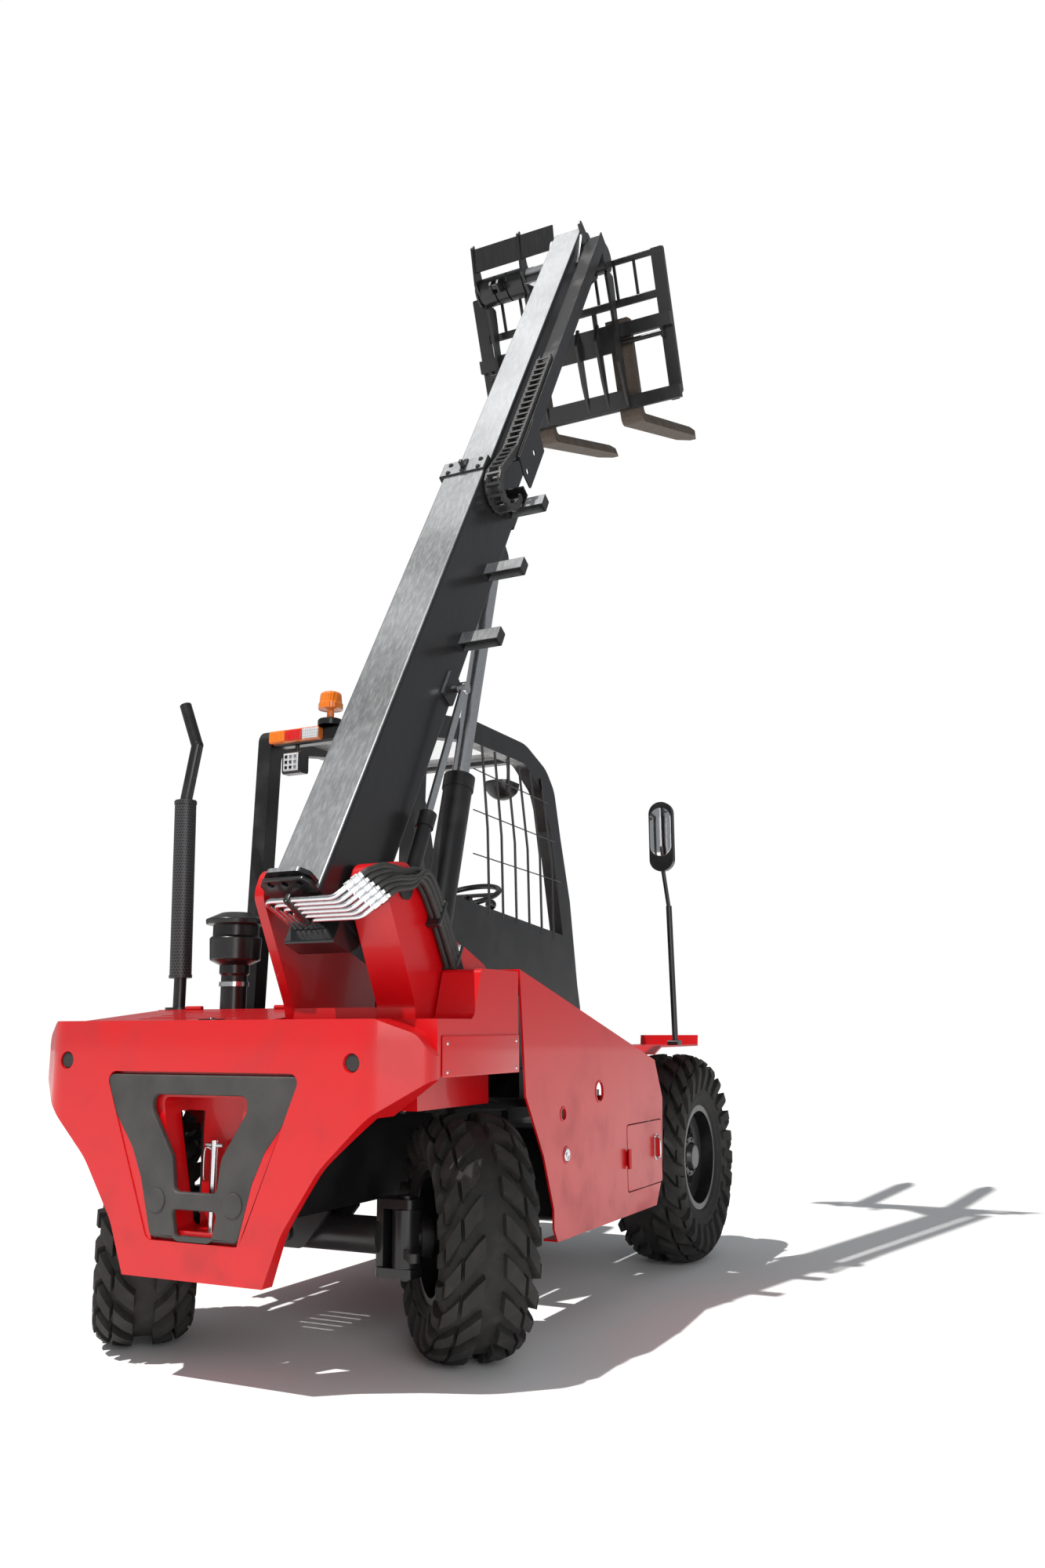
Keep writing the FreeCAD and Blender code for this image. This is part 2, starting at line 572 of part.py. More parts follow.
def make_left_panel():
    outline = [("-426", "1145"), ("-426", "935"), ("160", "935")] + SKIRT + [
        ("1600", "cab_floor_z - 4"), ("432", "cab_floor_z - 4"), ("432", "1145")]
    plate = new_body("left_plate")
    pad(plate, "XZ", "body_half - sheet_thick", "body_half", outline)
    pocket(plate, "XZ", "body_half - 9", "body_half + 1",
           box_outline("900", "470", "1300", "600", 30), box_outline("900", "690", "1300", "820", 30))
    lip = bar("left_lip", "XZ", "body_half - 60", "body_half",
              box_outline("462", "skirt_bottom", "1503", "skirt_bottom + sheet_thick"))
    shelves = [bar(f"step_{number}", "XZ", "body_half - 150", "body_half - 7",
                   box_outline("880", level, "1320", f"{level} + 8"))
               for number, level in enumerate(("456", "676"))]
    wall = bar("left_inner_wall", "XZ", "body_half - 158", "body_half - 150",
               box_outline("600", "400", "1560", "cab_floor_z - 4"))
    deck = bar("left_top", "XZ", "body_half - 158", "body_half",
               box_outline("600", "cab_floor_z - 12", "1598", "cab_floor_z - 4"))
    return stand(fused("left_side_panel", [plate, lip, wall, deck] + shelves), "machine")


def make_engine_deck():
    """Fixed deck in front of the hood, carrying the exhaust and the air cleaner."""
    body = new_body("engine_deck")
    pad(body, "XZ", "-96", "body_half - 10",
        [("75", "1120"), ("75", "hood_top"), ("440", "hood_top"), ("440", "cab_floor_z"),
         ("448", "cab_floor_z"), ("448", "hood_top + 8", 10), ("67", "hood_top + 8"),
         ("67", "1120")])
    return stand(body, "machine")


def make_hood():
    hood = new_body("hood_sheet")
    pad(hood, "XZ", "-95", "780",
        [("-385", "1090"), ("-385", "1138", 20), ("-340", "1152", 30), ("57", "1196"),
         ("57", "1188"), ("-340", "1144", 22), ("-377", "1130", 12), ("-377", "1090")])
    slots = [box_outline(f"{-300 + 60 * number}", "150", f"{-270 + 60 * number}", "560", 12)
             for number in range(5)]
    pocket(hood, "XY", "1100", "1210", *slots)
    knuckles = [rod(f"hood_knuckle_{number}", 9, ("hood_hinge_x", low, "hood_hinge_z"),
                    ("hood_hinge_x", high, "hood_hinge_z"))
                for number, (low, high) in enumerate((("120", "200"), ("560", "640")))]
    return stand(fused("engine_hood", [hood] + knuckles), "machine")


def make_exhaust():
    axis_x, axis_y = "141", "756"
    guard = rod("exhaust_guard", 42, (axis_x, axis_y, "1330"), (axis_x, "777", "2074"))
    stem = rod("exhaust_stem", 25, (axis_x, axis_y, "hood_top + 8"), (axis_x, axis_y, "1334"))
    neck = rod("exhaust_neck", 25, (axis_x, "777", "2070"), (axis_x, "728", "2316"))
    tip = rod("exhaust_tip", 25, (axis_x, "728", "2310"), (axis_x, "806", "2500"))
    knee = doc.addObject("Part::Sphere", "exhaust_knee")
    knee.Radius = 25
    knee.Placement.Base = Vector(141, 728, 2314)
    foot = rod("exhaust_foot", 55, (axis_x, axis_y, "hood_top + 8"), (axis_x, axis_y, "hood_top + 18"))
    return stand(fused("exhaust_stack", [guard, stem, neck, tip, knee, foot]), "machine")


def make_air_cleaner():
    body = new_body("air_cleaner")
    profile = [("0", "hood_top + 8"), ("52", "hood_top + 8"), ("52", "1330"), ("60", "1340"),
               ("60", "1372"), ("100", "1392", 10), ("104", "1480", 8), ("92", "1490"),
               ("92", "1530"), ("120", "1536", 4), ("122", "1556", 6), ("60", "1584", 30),
               ("0", "1588")]
    revolve(body, "XZ", "V_Axis", profile)
    body.Placement.Base = Vector(141, 475, 0)
    return stand(fused("air_cleaner_unit", [body, rod("air_pipe", 30, ("141", "475", "hood_top + 8"),
                 ("141", "475", "1300"))]), "machine")


def make_tower():
    cheek = [("-276", "1100"), ("-300", "1200", 60), ("-490", "1566", 70), ("-452", "1656", 50),
             ("-352", "1660", 60), ("-237", "1530", 60), ("-150", "1450", 80), ("30", "1405", 60),
             ("192", "1345", 40), ("219", "1285", 20), ("219", "1100")]
    left = new_body("tower_cheek")
    pad(left, "XZ", "tower_left_y - 38", "tower_left_y", cheek)
    column = new_body("tower_column")
    low = [("219", "855"), ("-276", "855")]
    pad(column, "XZ", "tower_right_y", "column_in_y", low + cheek[1:-1])
    inner = [("204", "850"), ("-261", "850"), ("-284", "1204", 45), ("-473", "1569", 55),
             ("-442", "1641", 35), ("-359", "1644", 45), ("-249", "1520", 45), ("-158", "1435", 65),
             ("25", "1390", 45), ("180", "1333", 30), ("204", "1281", 8)]
    pocket(column, "XZ", "tower_right_y + 15", "column_in_y - 15", inner)
    for body, low_y, high_y in ((left, "tower_left_y - 39", "tower_left_y + 1"),
                                (column, "tower_right_y - 1", "column_in_y + 1")):
        pocket(body, "XZ", low_y, high_y, circle("pivot_x", "pivot_z", "pivot_pin_r + pin_gap"))
    deck = bar("tower_deck", "XZ", "column_in_y - 1", "tower_left_y - 37",
               box_outline("-276", "1100", "30", "1130"))
    wall = bar("tower_back", "XZ", "column_in_y - 1", "-rail_y",
               box_outline("-276", "855", "-256", "1101"))
    back = bar("tower_recess", "XZ", "column_in_y - 1", "tower_left_y - 37",
               box_outline("-292", "1129", "-270", "1190"))
    foot = rod("lift_foot_pin", 28, ("lift_foot_x", "column_in_y - 1", "lift_foot_z"),
               ("lift_foot_x", "-rail_y", "lift_foot_z"))
    pieces = [left, column, deck, wall, back, foot]
    for number, (low_y, high_y) in enumerate((("comp_y - 45", "comp_y - 33"),
                                              ("comp_y + 33", "comp_y + 45"))):
        ear = new_body(f"comp_ear_{number}")
        pad(ear, "XZ", low_y, high_y, [("-246", "1440"), ("-228", "1600", 30), ("-186", "1622", 34),
                                       ("-152", "1590", 20), ("-140", "1438")])
        pieces.append(ear)
    pieces.append(rod("comp_foot_pin", 14, ("comp_foot_x", "comp_y - 45", "comp_foot_z"),
                      ("comp_foot_x", "comp_y + 45", "comp_foot_z")))
    return stand(fused("boom_tower", pieces), "machine")


# ---------------------------------------------------------------- telescopic boom
def make_boom_outer():
    half = "boom_width/2"
    tube = new_body("outer_tube")
    pad(tube, "YZ", "-boom_tail", "boom_outer_end",
        box_outline(f"-{half}", "-boom_under", half, "boom_over", 14))
    pocket(tube, "YZ", "120", "boom_outer_end + 1",
           box_outline(f"boom_wall - {half}", "boom_wall - boom_under", f"{half} - boom_wall",
                       "boom_over - boom_wall", 8))
    collar = new_body("outer_collar")
    pad(collar, "YZ", "boom_outer_end - 90", "boom_outer_end",
        box_outline(f"-{half}", "-boom_under - 14", f"{half} + 14", "boom_over + 12", 10))
    pocket(collar, "YZ", "boom_outer_end - 91", "boom_outer_end + 1",
           box_outline(f"0.5 - {half}", "0.5 - boom_under", f"{half} - 0.5", "boom_over - 0.5", 13))
    pads = []
    gap = "(inner_half + slide_gap)"
    for number, corners in enumerate((
            (f"-{gap}", "boom_wall - boom_under - 1", gap, "inner_low - slide_gap"),
            (f"-{gap}", "inner_high + slide_gap", gap, "boom_over - boom_wall + 1"),
            (f"boom_wall - {half} - 1", "-60", f"-{gap}", "130"),
            (gap, "-60", f"{half} - boom_wall + 1", "130"))):
        pads.append(bar(f"wear_pad_{number}", "YZ", "boom_outer_end - 120", "boom_outer_end - 20",
                        box_outline(*corners)))
    pin = rod("pivot_pin", "pivot_pin_r", ("0", "tower_right_y - boom_y - 8", "0"),
              ("0", "tower_left_y - boom_y + 8", "0"))
    sleeves = [rod(f"pivot_sleeve_{side}", 62, ("0", start, "0"), ("0", end, "0"))
               for side, start, end in (
                   ("right", "column_in_y - boom_y + 5", "0"),
                   ("left", "0", "tower_left_y - 38 - boom_y - 5"))]
    ears = []
    for side, low, high in (("right", "-60", "-44"), ("left", "44", "60")):
        ears.append(bar(f"lift_ear_{side}", "XZ", low, high,
                        [("lift_eye_x - 60", "-boom_under + 2"), ("lift_eye_x - 50", "lift_eye_z - 30", 40),
                         ("lift_eye_x + 50", "lift_eye_z - 30", 50),
                         ("lift_eye_x + 90", "-boom_under + 2")]))
    comp = rod("comp_lug", 16, ("comp_eye_x", "-100", "comp_eye_z"),
               ("comp_eye_x", "comp_y - boom_y + 26", "comp_eye_z"))
    plate = bar("comp_plate", "XZ", f"-{half} - 12", f"1 - {half}",
                box_outline("comp_eye_x - 70", "comp_eye_z - 34", "comp_eye_x + 70",
                            "comp_eye_z + 50", 20))
    crest = bar("tail_plate", "YZ", "-118", "-102",
                [("-90", "boom_over - 2"), ("90", "boom_over - 2"), ("90", "boom_over + 50", 20),
                 ("60", "boom_over + 78", 20), ("-60", "boom_over + 78", 20),
                 ("-90", "boom_over + 50", 20)])
    cleats = []
    for number in range(3):
        place = f"(cleat_start + {number}*cleat_pitch)"
        cleat = new_body(f"side_cleat_{number}")
        pad(cleat, "XZ", f"-{half} - 175", f"1 - {half}",
            [(place, "-80", 6), (f"{place} + 70", "-80", 6), (f"{place} + 70", "-32", 6),
             (place, "-32", 6)])
        pocket(cleat, "XZ", f"-{half} - 167", f"-{half} - 7",
               box_outline(f"{place} - 1", "-73", f"{place} + 62", "-39"))
        cleats.append(cleat)
    return stand(fused("boom_outer", [tube, collar, pin, comp, plate, crest] + pads + sleeves
                       + ears + cleats), "boom")


def make_boom_inner():
    start = "boom_outer_end - inner_overlap"
    tube = new_body("boom_inner")
    pad(tube, "YZ", start, "boom_inner_end",
        box_outline("-inner_half", "inner_low", "inner_half", "inner_high", 12))
    pocket(tube, "YZ", f"{start} - 1", "boom_inner_end - 190",
           box_outline("10 - inner_half", "inner_low + 10", "inner_half - 10", "inner_high - 10", 6))
    pocket(tube, "XZ", "-inner_half - 1", "inner_half + 1",
           [("4205", "inner_low - 1"), ("boom_inner_end + 1", "inner_low - 1"),
            ("boom_inner_end + 1", "110"), ("4290", "60", 30)])
    return stand(tube, "boom")


def make_boom_head():
    """Cross tube at the boom's nose with its cheeks, web and ear feet, on which the ears stand with
    their cover; the forks hang from it."""
    left, right = "(drum_left + carriage_y - boom_y)", "(drum_right + carriage_y - boom_y)"
    drum = rod("head_drum", "drum_r", ("head_x", right, "head_z"), ("head_x", left, "head_z"))
    cheeks = []
    for side, low, high in (("right", "-inner_half - 12", "-inner_half"),
                            ("left", "inner_half", "inner_half + 12")):
        cheeks.append(bar(f"head_cheek_{side}", "XZ", low, high,
                          [("head_x - 290", "-40", 20), ("head_x - 60", "head_z - 76", 60),
                           ("head_x + 56", "head_z - 56", 50), ("head_x + 62", "110", 40),
                           ("head_x - 20", "inner_high - 4", 30), ("head_x - 250", "100", 20)]))
    feet, ears = [], []
    for number, place in enumerate((f"{left} - 26", "ear_y")):
        feet.append(bar(f"ear_foot_{number}", "XZ", place, f"{place} + 14",
                        [("head_x - 62", "head_z - 30", 30), ("head_x + 40", "head_z - 50", 20),
                         ("head_x + 44", "head_z + 70"), ("head_x - 65", "head_z + 70")]))
        ears.append(bar(f"head_ear_{number}", "XZ", place, f"{place} + 14",
                        [("head_x - 65", "head_z + 70"), ("head_x + 44", "head_z + 70"),
                         ("head_x + 132", "head_z + 232", 6), ("head_x + 96", "head_z + 238", 6),
                         ("head_x - 66", "head_z + 84", 24)]))
    web = new_body("head_web")
    pad(web, "XY", "head_z - 40", "head_z + 20",
        [("head_x - 300", "inner_half"), ("head_x - 70", "ear_y", 40), ("head_x - 70", "ear_y + 14"),
         ("head_x + 40", "ear_y + 14"), ("head_x + 40", "inner_half")])
    cover = bar("head_cover", "XZ", "inner_half + 12", f"{left} - 13",
                [("head_x - 6", "head_z + 136"), ("head_x + 96", "head_z + 224"),
                 ("head_x + 102", "head_z + 217"), ("head_x", "head_z + 129")])
    lug = bar("head_lug", "XZ", "-inner_half - 12", "-inner_half",
              [("boom_inner_end - 76", "80"), ("boom_inner_end - 50", "inner_high + 44", 20),
               ("boom_inner_end - 4", "inner_high + 46", 20), ("boom_inner_end + 10", "80")])
    end = rod("head_flange", "sleeve_r", ("head_x", f"{left} - 10", "head_z"), ("head_x", left, "head_z"))
    core = fused("head_core", [drum, end, web, lug] + cheeks + feet)
    return stand(grouped("boom_head", [core, fused("head_ears", ears + [cover])]), "boom")


def make_tray():
    """Bracket on the outer boom where the energy chain's lower end is made fast."""
    right = "-boom_width/2"
    shelf = bar("chain_tray", "XZ", "tray_right + 8", right,
                [("boom_outer_end - 96", "-32"), ("boom_outer_end", "-32"), ("boom_outer_end", "20"),
                 ("boom_outer_end - 8", "20"), ("boom_outer_end - 8", "-26", 6),
                 ("boom_outer_end - 96", "-26")])
    return stand(shelf, "boom")


def link_body(number):
    """One link: side plates that step from inside to outside, joined by a rung above and below."""
    body = new_body(f"chain_link_{number}")
    rise, out = "link_rise", "link_half"
    pad(body, "YZ", 15, 27, box_outline(f"7.5 - {out}", f"-{rise}", f"{out} - 7.5", rise),
        box_outline(f"14 - {out}", f"4 - {rise}", f"{out} - 14", f"{rise} - 4"))
    nose = f"link_pitch + {rise}"
    outer = [(14, f"-{rise}"), (f"{nose} - 7", f"-{rise}"), (nose, f"7 - {rise}"),
             (nose, f"{rise} - 7"), (f"{nose} - 7", rise), (14, rise)]
    inner = [(f"7 - {rise}", f"1 - {rise}"), (28, f"1 - {rise}"), (28, f"{rise} - 1"),
             (f"7 - {rise}", f"{rise} - 1"), (f"-{rise}", f"{rise} - 7"), (f"-{rise}", f"7 - {rise}")]
    for low, high, corners in ((f"{out} - 8", out, outer), (f"-{out}", f"8 - {out}", outer),
                               (f"{out} - 14", f"{out} - 7.5", inner),
                               (f"7.5 - {out}", f"14 - {out}", inner)):
        pad(body, "XZ", low, high, corners)
    return body


def chain_headings():
    """The way each link points: along the tray, up the slope, then round the loop."""
    slope = 168.5
    turn = 2 * math.degrees(math.asin(value("link_pitch") / 2 / 88.9))
    headings = [180.0] * int(value("chain_run")) + [slope] * int(value("chain_slope"))
    way = slope + 0.75 * turn
    while way < 355:
        headings.append(way)
        way += turn
    return headings + [360.0]


def make_chain():
    """Energy chain: its run in the inner boom's tray, the slope behind it and the hanging loop."""
    first = link_body(0)
    x, z = value("chain_front"), value("tray_floor + link_rise + 1")
    pitch = value("link_pitch")
    links = []
    for number, way in enumerate(chain_headings()):
        link = doc.addObject("App::Link", f"chain_place_{number}")
        link.LinkedObject = first
        link.LinkTransform = False
        link.Placement = Placement(Vector(x, value("chain_y"), z), Rotation(PITCH_UP, way))
        links.append(link)
        x += pitch * math.cos(math.radians(way))
        z += pitch * math.sin(math.radians(way))
    return stand(fused("energy_chain", links), "boom")


def make_inner_tray():
    """Channel carried by the inner boom's nose that the energy chain lies in."""
    side = "tray_right"
    channel = bar("inner_channel", "YZ", "boom_outer_end + 60", "boom_inner_end - 60",
                  [("-boom_width/2 - 8", "tray_floor - 6"), (f"{side} + 6", "tray_floor - 6"),
                   (f"{side} + 6", "62"), (side, "62"), (side, "tray_floor + 14"),
                   (f"{side} + 6", "tray_floor + 14"), (f"{side} + 6", "tray_floor"),
                   ("-boom_width/2 - 8", "tray_floor")])
    plate = bar("inner_side_plate", "XZ", f"{side} - 6", side,
                [("boom_outer_end + 24", "-19", 10), ("boom_outer_end + 313", "-22", 10),
                 ("boom_outer_end + 350", "70"), ("boom_outer_end + 350", "tray_floor + 10"),
                 ("boom_outer_end + 60", "tray_floor + 10"), ("boom_outer_end + 24", "60", 10)],
                circle("boom_outer_end + 71", 42, 14), circle("boom_outer_end + 210", 42, 14))
    mount = bar("inner_channel_mount", "YZ", "boom_inner_end - 150", "boom_inner_end - 90",
                box_outline(f"{side} + 7", "96", "-inner_half - 12", "tray_floor - 5"))
    return stand(fused("inner_tray", [channel, plate, mount]), "boom")


def make_boom_tubes():
    """Six steel hydraulic tubes that come out of the boom's tail and turn over its top."""
    pieces = []
    for number in range(6):
        across, top = 70 - 22 * number, 226 - 22 * number
        path = [Vector(-176, across, 50), Vector(-186, across, top - 20),
                Vector(-190, across - 22, top), Vector(-190, -112, top), Vector(-172, -142, top),
                Vector(-110, -152, top)]
        profile = Part.Circle(path[0], path[1] - path[0], 9).toShape()
        tube = doc.addObject("Part::Feature", f"boom_tube_{number}")
        tube.Shape = Part.makePolygon(path).makePipeShell([Part.Wire(profile)], True, False, 1)
        pieces.append(tube)
    cover = bar("tail_cover", "XZ", "-98", "98",
                [("-boom_tail - 70", "-60", 30), ("-boom_tail", "-110", 20), ("-boom_tail", "40"),
                 ("-boom_tail - 90", "40", 10)])
    return stand(grouped("boom_tubes", pieces), "boom"), stand(cover, "boom")


# ---------------------------------------------------------------- cylinders
def make_cylinder(name, frame, barrel_r, rod_r, barrel_len, length, start, eye_r, pin_r, eye_half,
                  end):
    barrel = new_body(f"{name}_tube")
    revolve(barrel, "XZ", "H_Axis",
            [(f"{eye_r} - 6", "0"), (f"{eye_r} - 6", barrel_r), (f"{barrel_len} - 60", barrel_r),
             (f"{barrel_len} - 60", f"{barrel_r} + 5"), (barrel_len, f"{barrel_r} + 5"),
             (barrel_len, f"{rod_r} + pin_gap"), (f"{eye_r} + 24", f"{rod_r} + pin_gap"),
             (f"{eye_r} + 24", "0")])
    eye = rod(f"{name}_eye", eye_r, ("0", f"-{eye_half}", "0"), ("0", eye_half, "0"))
    whole = fused(f"{name}_whole", [barrel, eye])
    bore = rod(f"{name}_bore", f"{pin_r} + pin_gap", ("0", f"-{eye_half} - 1", "0"),
               ("0", f"{eye_half} + 1", "0"))
    stand(cut(f"{name}_barrel", whole, bore), frame)
    shaft = rod(f"{name}_shaft", rod_r, (start, "0", "0"), (length, "0", "0"))
    head = rod(f"{name}_head", f"{eye_r} - 6", (length, f"-{end}", "0"), (length, end, "0"))
    stand(fused(f"{name}_rod", [shaft, head]), frame)


# ---------------------------------------------------------------- fork carriage
def sleeve(name, low, high, radius="sleeve_r"):
    """A ring that turns on the boom's cross tube."""
    body = new_body(name)
    pad(body, "XZ", low, high, circle(0, 0, radius), circle(0, 0, "drum_r + pin_gap"))
    return body


def make_level_link():
    ring = sleeve("level_ring", "300", "365")
    lug = [("-72", "-34"), ("-150", "-60", 20), ("-176", "-20", 20), ("-150", "14", 20), ("-72", "34")]
    pieces = [ring, bar("level_lug_a", "XZ", "304", "316", lug), bar("level_lug_b", "XZ", "349", "361", lug),
              rod("level_pin", 14, ("-150", "301", "-22"), ("-150", "364", "-22"))]
    return stand(fused("level_link", pieces), "carriage")


def make_hitch():
    arm = [("-34", "-78", 20), ("hitch_x - 40", "-330", 60), ("hitch_x - 60", "-560", 60),
           ("hitch_x", "-800"), ("hitch_x + 20", "-800"), ("hitch_x + 20", "-300"),
           ("62", "-170", 40), ("70", "-34", 16), ("44", "-78", 10)]
    pieces = []
    for number, (low, high) in enumerate((("-296", "-233"), ("196", "290"), ("375", "458"))):
        pieces.append(sleeve(f"hitch_ring_{number}", low, high))
        side = low if number < 2 else "442"
        pieces.append(bar(f"hitch_arm_{number}", "XZ", side, f"{side} + 16", arm))
    for number, (low, high) in enumerate((("-500", "-350"), ("-812", "-712"))):
        pieces.append(bar(f"hitch_bar_{number}", "XZ", "-296", "458",
                          box_outline("hitch_x", low, "hitch_x + 20", high)))
    for number, place in enumerate(("-180", "-60")):
        pieces.append(bar(f"hitch_rib_{number}", "XZ", place, f"{place} + 14",
                          [("hitch_x + 1", "-330"), ("hitch_x - 60", "-420", 30),
                           ("hitch_x - 40", "-640", 60), ("hitch_x + 1", "-800"),
                           ("hitch_x + 19", "-800"), ("hitch_x + 19", "-330")]))
    motor = rod("shift_barrel", 22, ("60", "-105", "shift_rod_z"), ("60", "105", "shift_rod_z"))
    whole = fused("hitch_whole", pieces + [motor])
    bore = rod("shift_bore", "shift_rod_r + pin_gap", ("60", "-111", "shift_rod_z"),
               ("60", "111", "shift_rod_z"))
    return stand(cut("hitch_frame", whole, bore), "carriage")


def make_carriage():
    half = "carriage_width/2"
    pieces = [rod("shift_rod", "shift_rod_r", ("60", f"60 - {half}", "shift_rod_z"),
                  ("60", f"{half} - 60", "shift_rod_z"))]
    for number, (low, high) in enumerate((("-422", "-350"), ("-815", "-745"))):
        pieces.append(bar(f"fork_bar_{number}", "XZ", f"-{half}", half,
                          box_outline("fork_reach - 40", low, "fork_reach", high)))
    for side, sign in SIDES:
        inner, outer = (f"{sign}*({half} - 70)", f"{sign}*{half}")
        post = [(outer, "6", 10), (inner, "6", 4), (inner, "-815"), (f"{sign}*({half} - 30)", "-815"),
                (outer, "-775")]
        upright = new_body(f"upright_{side}")
        pad(upright, "YZ", "fork_reach", "fork_reach + 34", post)
        pocket(upright, "YZ", "fork_reach + 6", "fork_reach + 33",
               [(f"{sign}*({half} - 10)", "-40"), (f"{sign}*({half} - 60)", "-40"),
                (f"{sign}*({half} - 60)", "-735"), (f"{sign}*({half} - 10)", "-735")])
        pieces.append(upright)
        low, high = (f"50 - {half}", f"66 - {half}") if sign < 0 else (f"{half} - 66", f"{half} - 50")
        pieces.append(bar(f"shift_bracket_{side}", "XZ", low, high,
                          box_outline("fork_reach - 38", "shift_rod_z - 24", "fork_reach - 2",
                                      "shift_rod_z + 40", 8)))
    for number, (low, high) in enumerate((("-26", "6"), ("-252", "-210"))):
        pieces.append(bar(f"backrest_bar_{number}", "XZ", f"-{half}", half,
                          box_outline("fork_reach + 6", low, "fork_reach + 28", high, 6)))
    for number in range(-4, 4):
        place = f"{number + 0.5}*carriage_width/10"
        pieces.append(bar(f"backrest_slat_{number + 4}", "XZ", f"{place} - 7", f"{place} + 7",
                          box_outline("fork_reach + 10", "-231", "fork_reach + 24", "-10")))
    for number in (-1.2, 1.2):
        place = f"{number}*carriage_width/10"
        pieces.append(bar(f"backrest_strut_{round(number + 3)}", "XZ", f"{place} - 12", f"{place} + 12",
                          box_outline("fork_reach - 1", "-380", "fork_reach + 16", "-230")))
    return stand(fused("fork_carriage", pieces), "carriage")


def make_fork(side, sign):
    middle = f"{sign}*fork_spacing/2 - 6"
    body = new_body(f"fork_{side}")
    heel = "-fork_drop"
    tip = "fork_reach + fork_length"
    pad(body, "XZ", f"{middle} - fork_width/2", f"{middle} + fork_width/2",
        [("fork_reach", heel, 45), (tip, heel), (tip, f"{heel} + 12", 5),
         (f"{tip} - 260", f"{heel} + fork_thick", 200),
         ("fork_reach + fork_thick", f"{heel} + fork_thick", 30), ("fork_reach + fork_thick", "-322", 12),
         ("fork_reach - 40", "-322", 12), ("fork_reach - 40", "-349"), ("fork_reach", "-349")])
    pocket(body, "XY", f"{heel} - 1", f"{heel} + 60",
           [(f"{tip} - 160", f"{middle} - fork_width/2 - 1"), (f"{tip} + 1", f"{middle} - fork_width/2 - 1"),
            (f"{tip} + 1", f"{middle} - 20")],
           [(f"{tip} - 160", f"{middle} + fork_width/2 + 1"), (f"{tip} + 1", f"{middle} + 20"),
            (f"{tip} + 1", f"{middle} + fork_width/2 + 1")])
    return stand(body, "carriage")


# ---------------------------------------------------------------- operator's place
ARCH_OUT = [("432", "hood_top + 8"), ("480", "2440", 60), ("964", "canopy_top"),
            ("1509", "canopy_top", 300), ("1752", "2425", 200), ("1850", "2330", 150), ("1924", "2089"),
            ("2035", "1771"), ("2141", "1225")]
ARCH_IN = [("2050", "1225"), ("1940", "1590"), ("1800", "2110"), ("1700", "2300", 120),
           ("1500", "canopy_top - 100", 150), ("932", "canopy_top - 104"), ("560", "2345", 40),
           ("508", "hood_top + 8")]


def make_canopy():
    pieces = []
    for side, low, high in (("right", "cab_right_y", "cab_right_y + canopy_width"),
                            ("left", "cab_left_y - canopy_width", "cab_left_y")):
        pieces.append(bar(f"arch_{side}", "XZ", low, high, ARCH_OUT + ARCH_IN))
    inside = ("cab_right_y + canopy_width - 1", "cab_left_y - canopy_width + 1")
    pieces.append(bar("rear_beam", "XZ", *inside, box_outline("492", "2362", "552", "2432", 12)))
    pieces.append(bar("front_beam", "XZ", *inside, box_outline("1450", "2412", "1510", "2472", 8)))
    pieces.append(bar("cowl_beam", "XZ", *inside, box_outline("2060", "1226", "2130", "1290", 8)))
    return stand(fused("canopy_frame", pieces), "machine")


def make_roof():
    return stand(bar("canopy_roof", "YZ", "560", "1446",
                     box_outline("cab_right_y + canopy_width + 1", "2432",
                                 "cab_left_y - canopy_width - 1", "2438")), "machine")


def make_side_guard():
    skin = "cab_right_y - 8"
    panel = bar("guard_panel", "XZ", skin, "cab_right_y - 0.5",
                [("470", "1712"), ("2030", "1578", 10), ("2134", "1225", 10), ("2134", "1050"),
                 ("1960", "1050"), ("1860", "940"), ("470", "940")])
    pieces = [panel]
    for number in range(6):
        foot = 1115 + 140 * number
        base = 1690 - 13.6 * number
        bend = ("%g" % (foot - 18), "cab_right_y - 6.5", "%g" % (base + 330))
        head = ("%g" % (foot - 78 - 12 * number), "cab_right_y - 6.5", "%g" % (2410 - 9 * number))
        pieces.append(rod(f"guard_bar_{number}_low", 6, ("%g" % foot, "cab_right_y - 6.5", "%g" % (base - 60)),
                          bend))
        pieces.append(rod(f"guard_bar_{number}_high", 6, bend, head))
    for number, height in enumerate((1860, 2060, 2250)):
        pieces.append(rod(f"guard_wire_{number}", 3, ("960", "cab_right_y - 6.5", "%g" % (height + 30)),
                          ("%g" % (1905 - 75 * number), "cab_right_y - 6.5", "%g" % height)))
    return stand(fused("side_guard", pieces), "machine")


def make_cab_floor():
    floor = bar("floor_sheet", "XZ", "cab_right_y + 8", "body_half - 160",
                [("460", "cab_floor_z - 12"), ("1866", "cab_floor_z - 12"), ("1950", "1028"),
                 ("2141", "1028"), ("2141", "1225"), ("2131", "1225"), ("2131", "1038"),
                 ("1944", "1038"), ("1860", "cab_floor_z"), ("460", "cab_floor_z")])
    ribs = [bar(f"floor_rib_{number}", "XZ", "cab_right_y + 8", "body_half - 170",
                box_outline(x_low, "rail_top", x_low + 50, "cab_floor_z - 11"))
            for number, x_low in enumerate((645, 1445))]
    return stand(fused("cab_floor", [floor] + ribs), "machine")


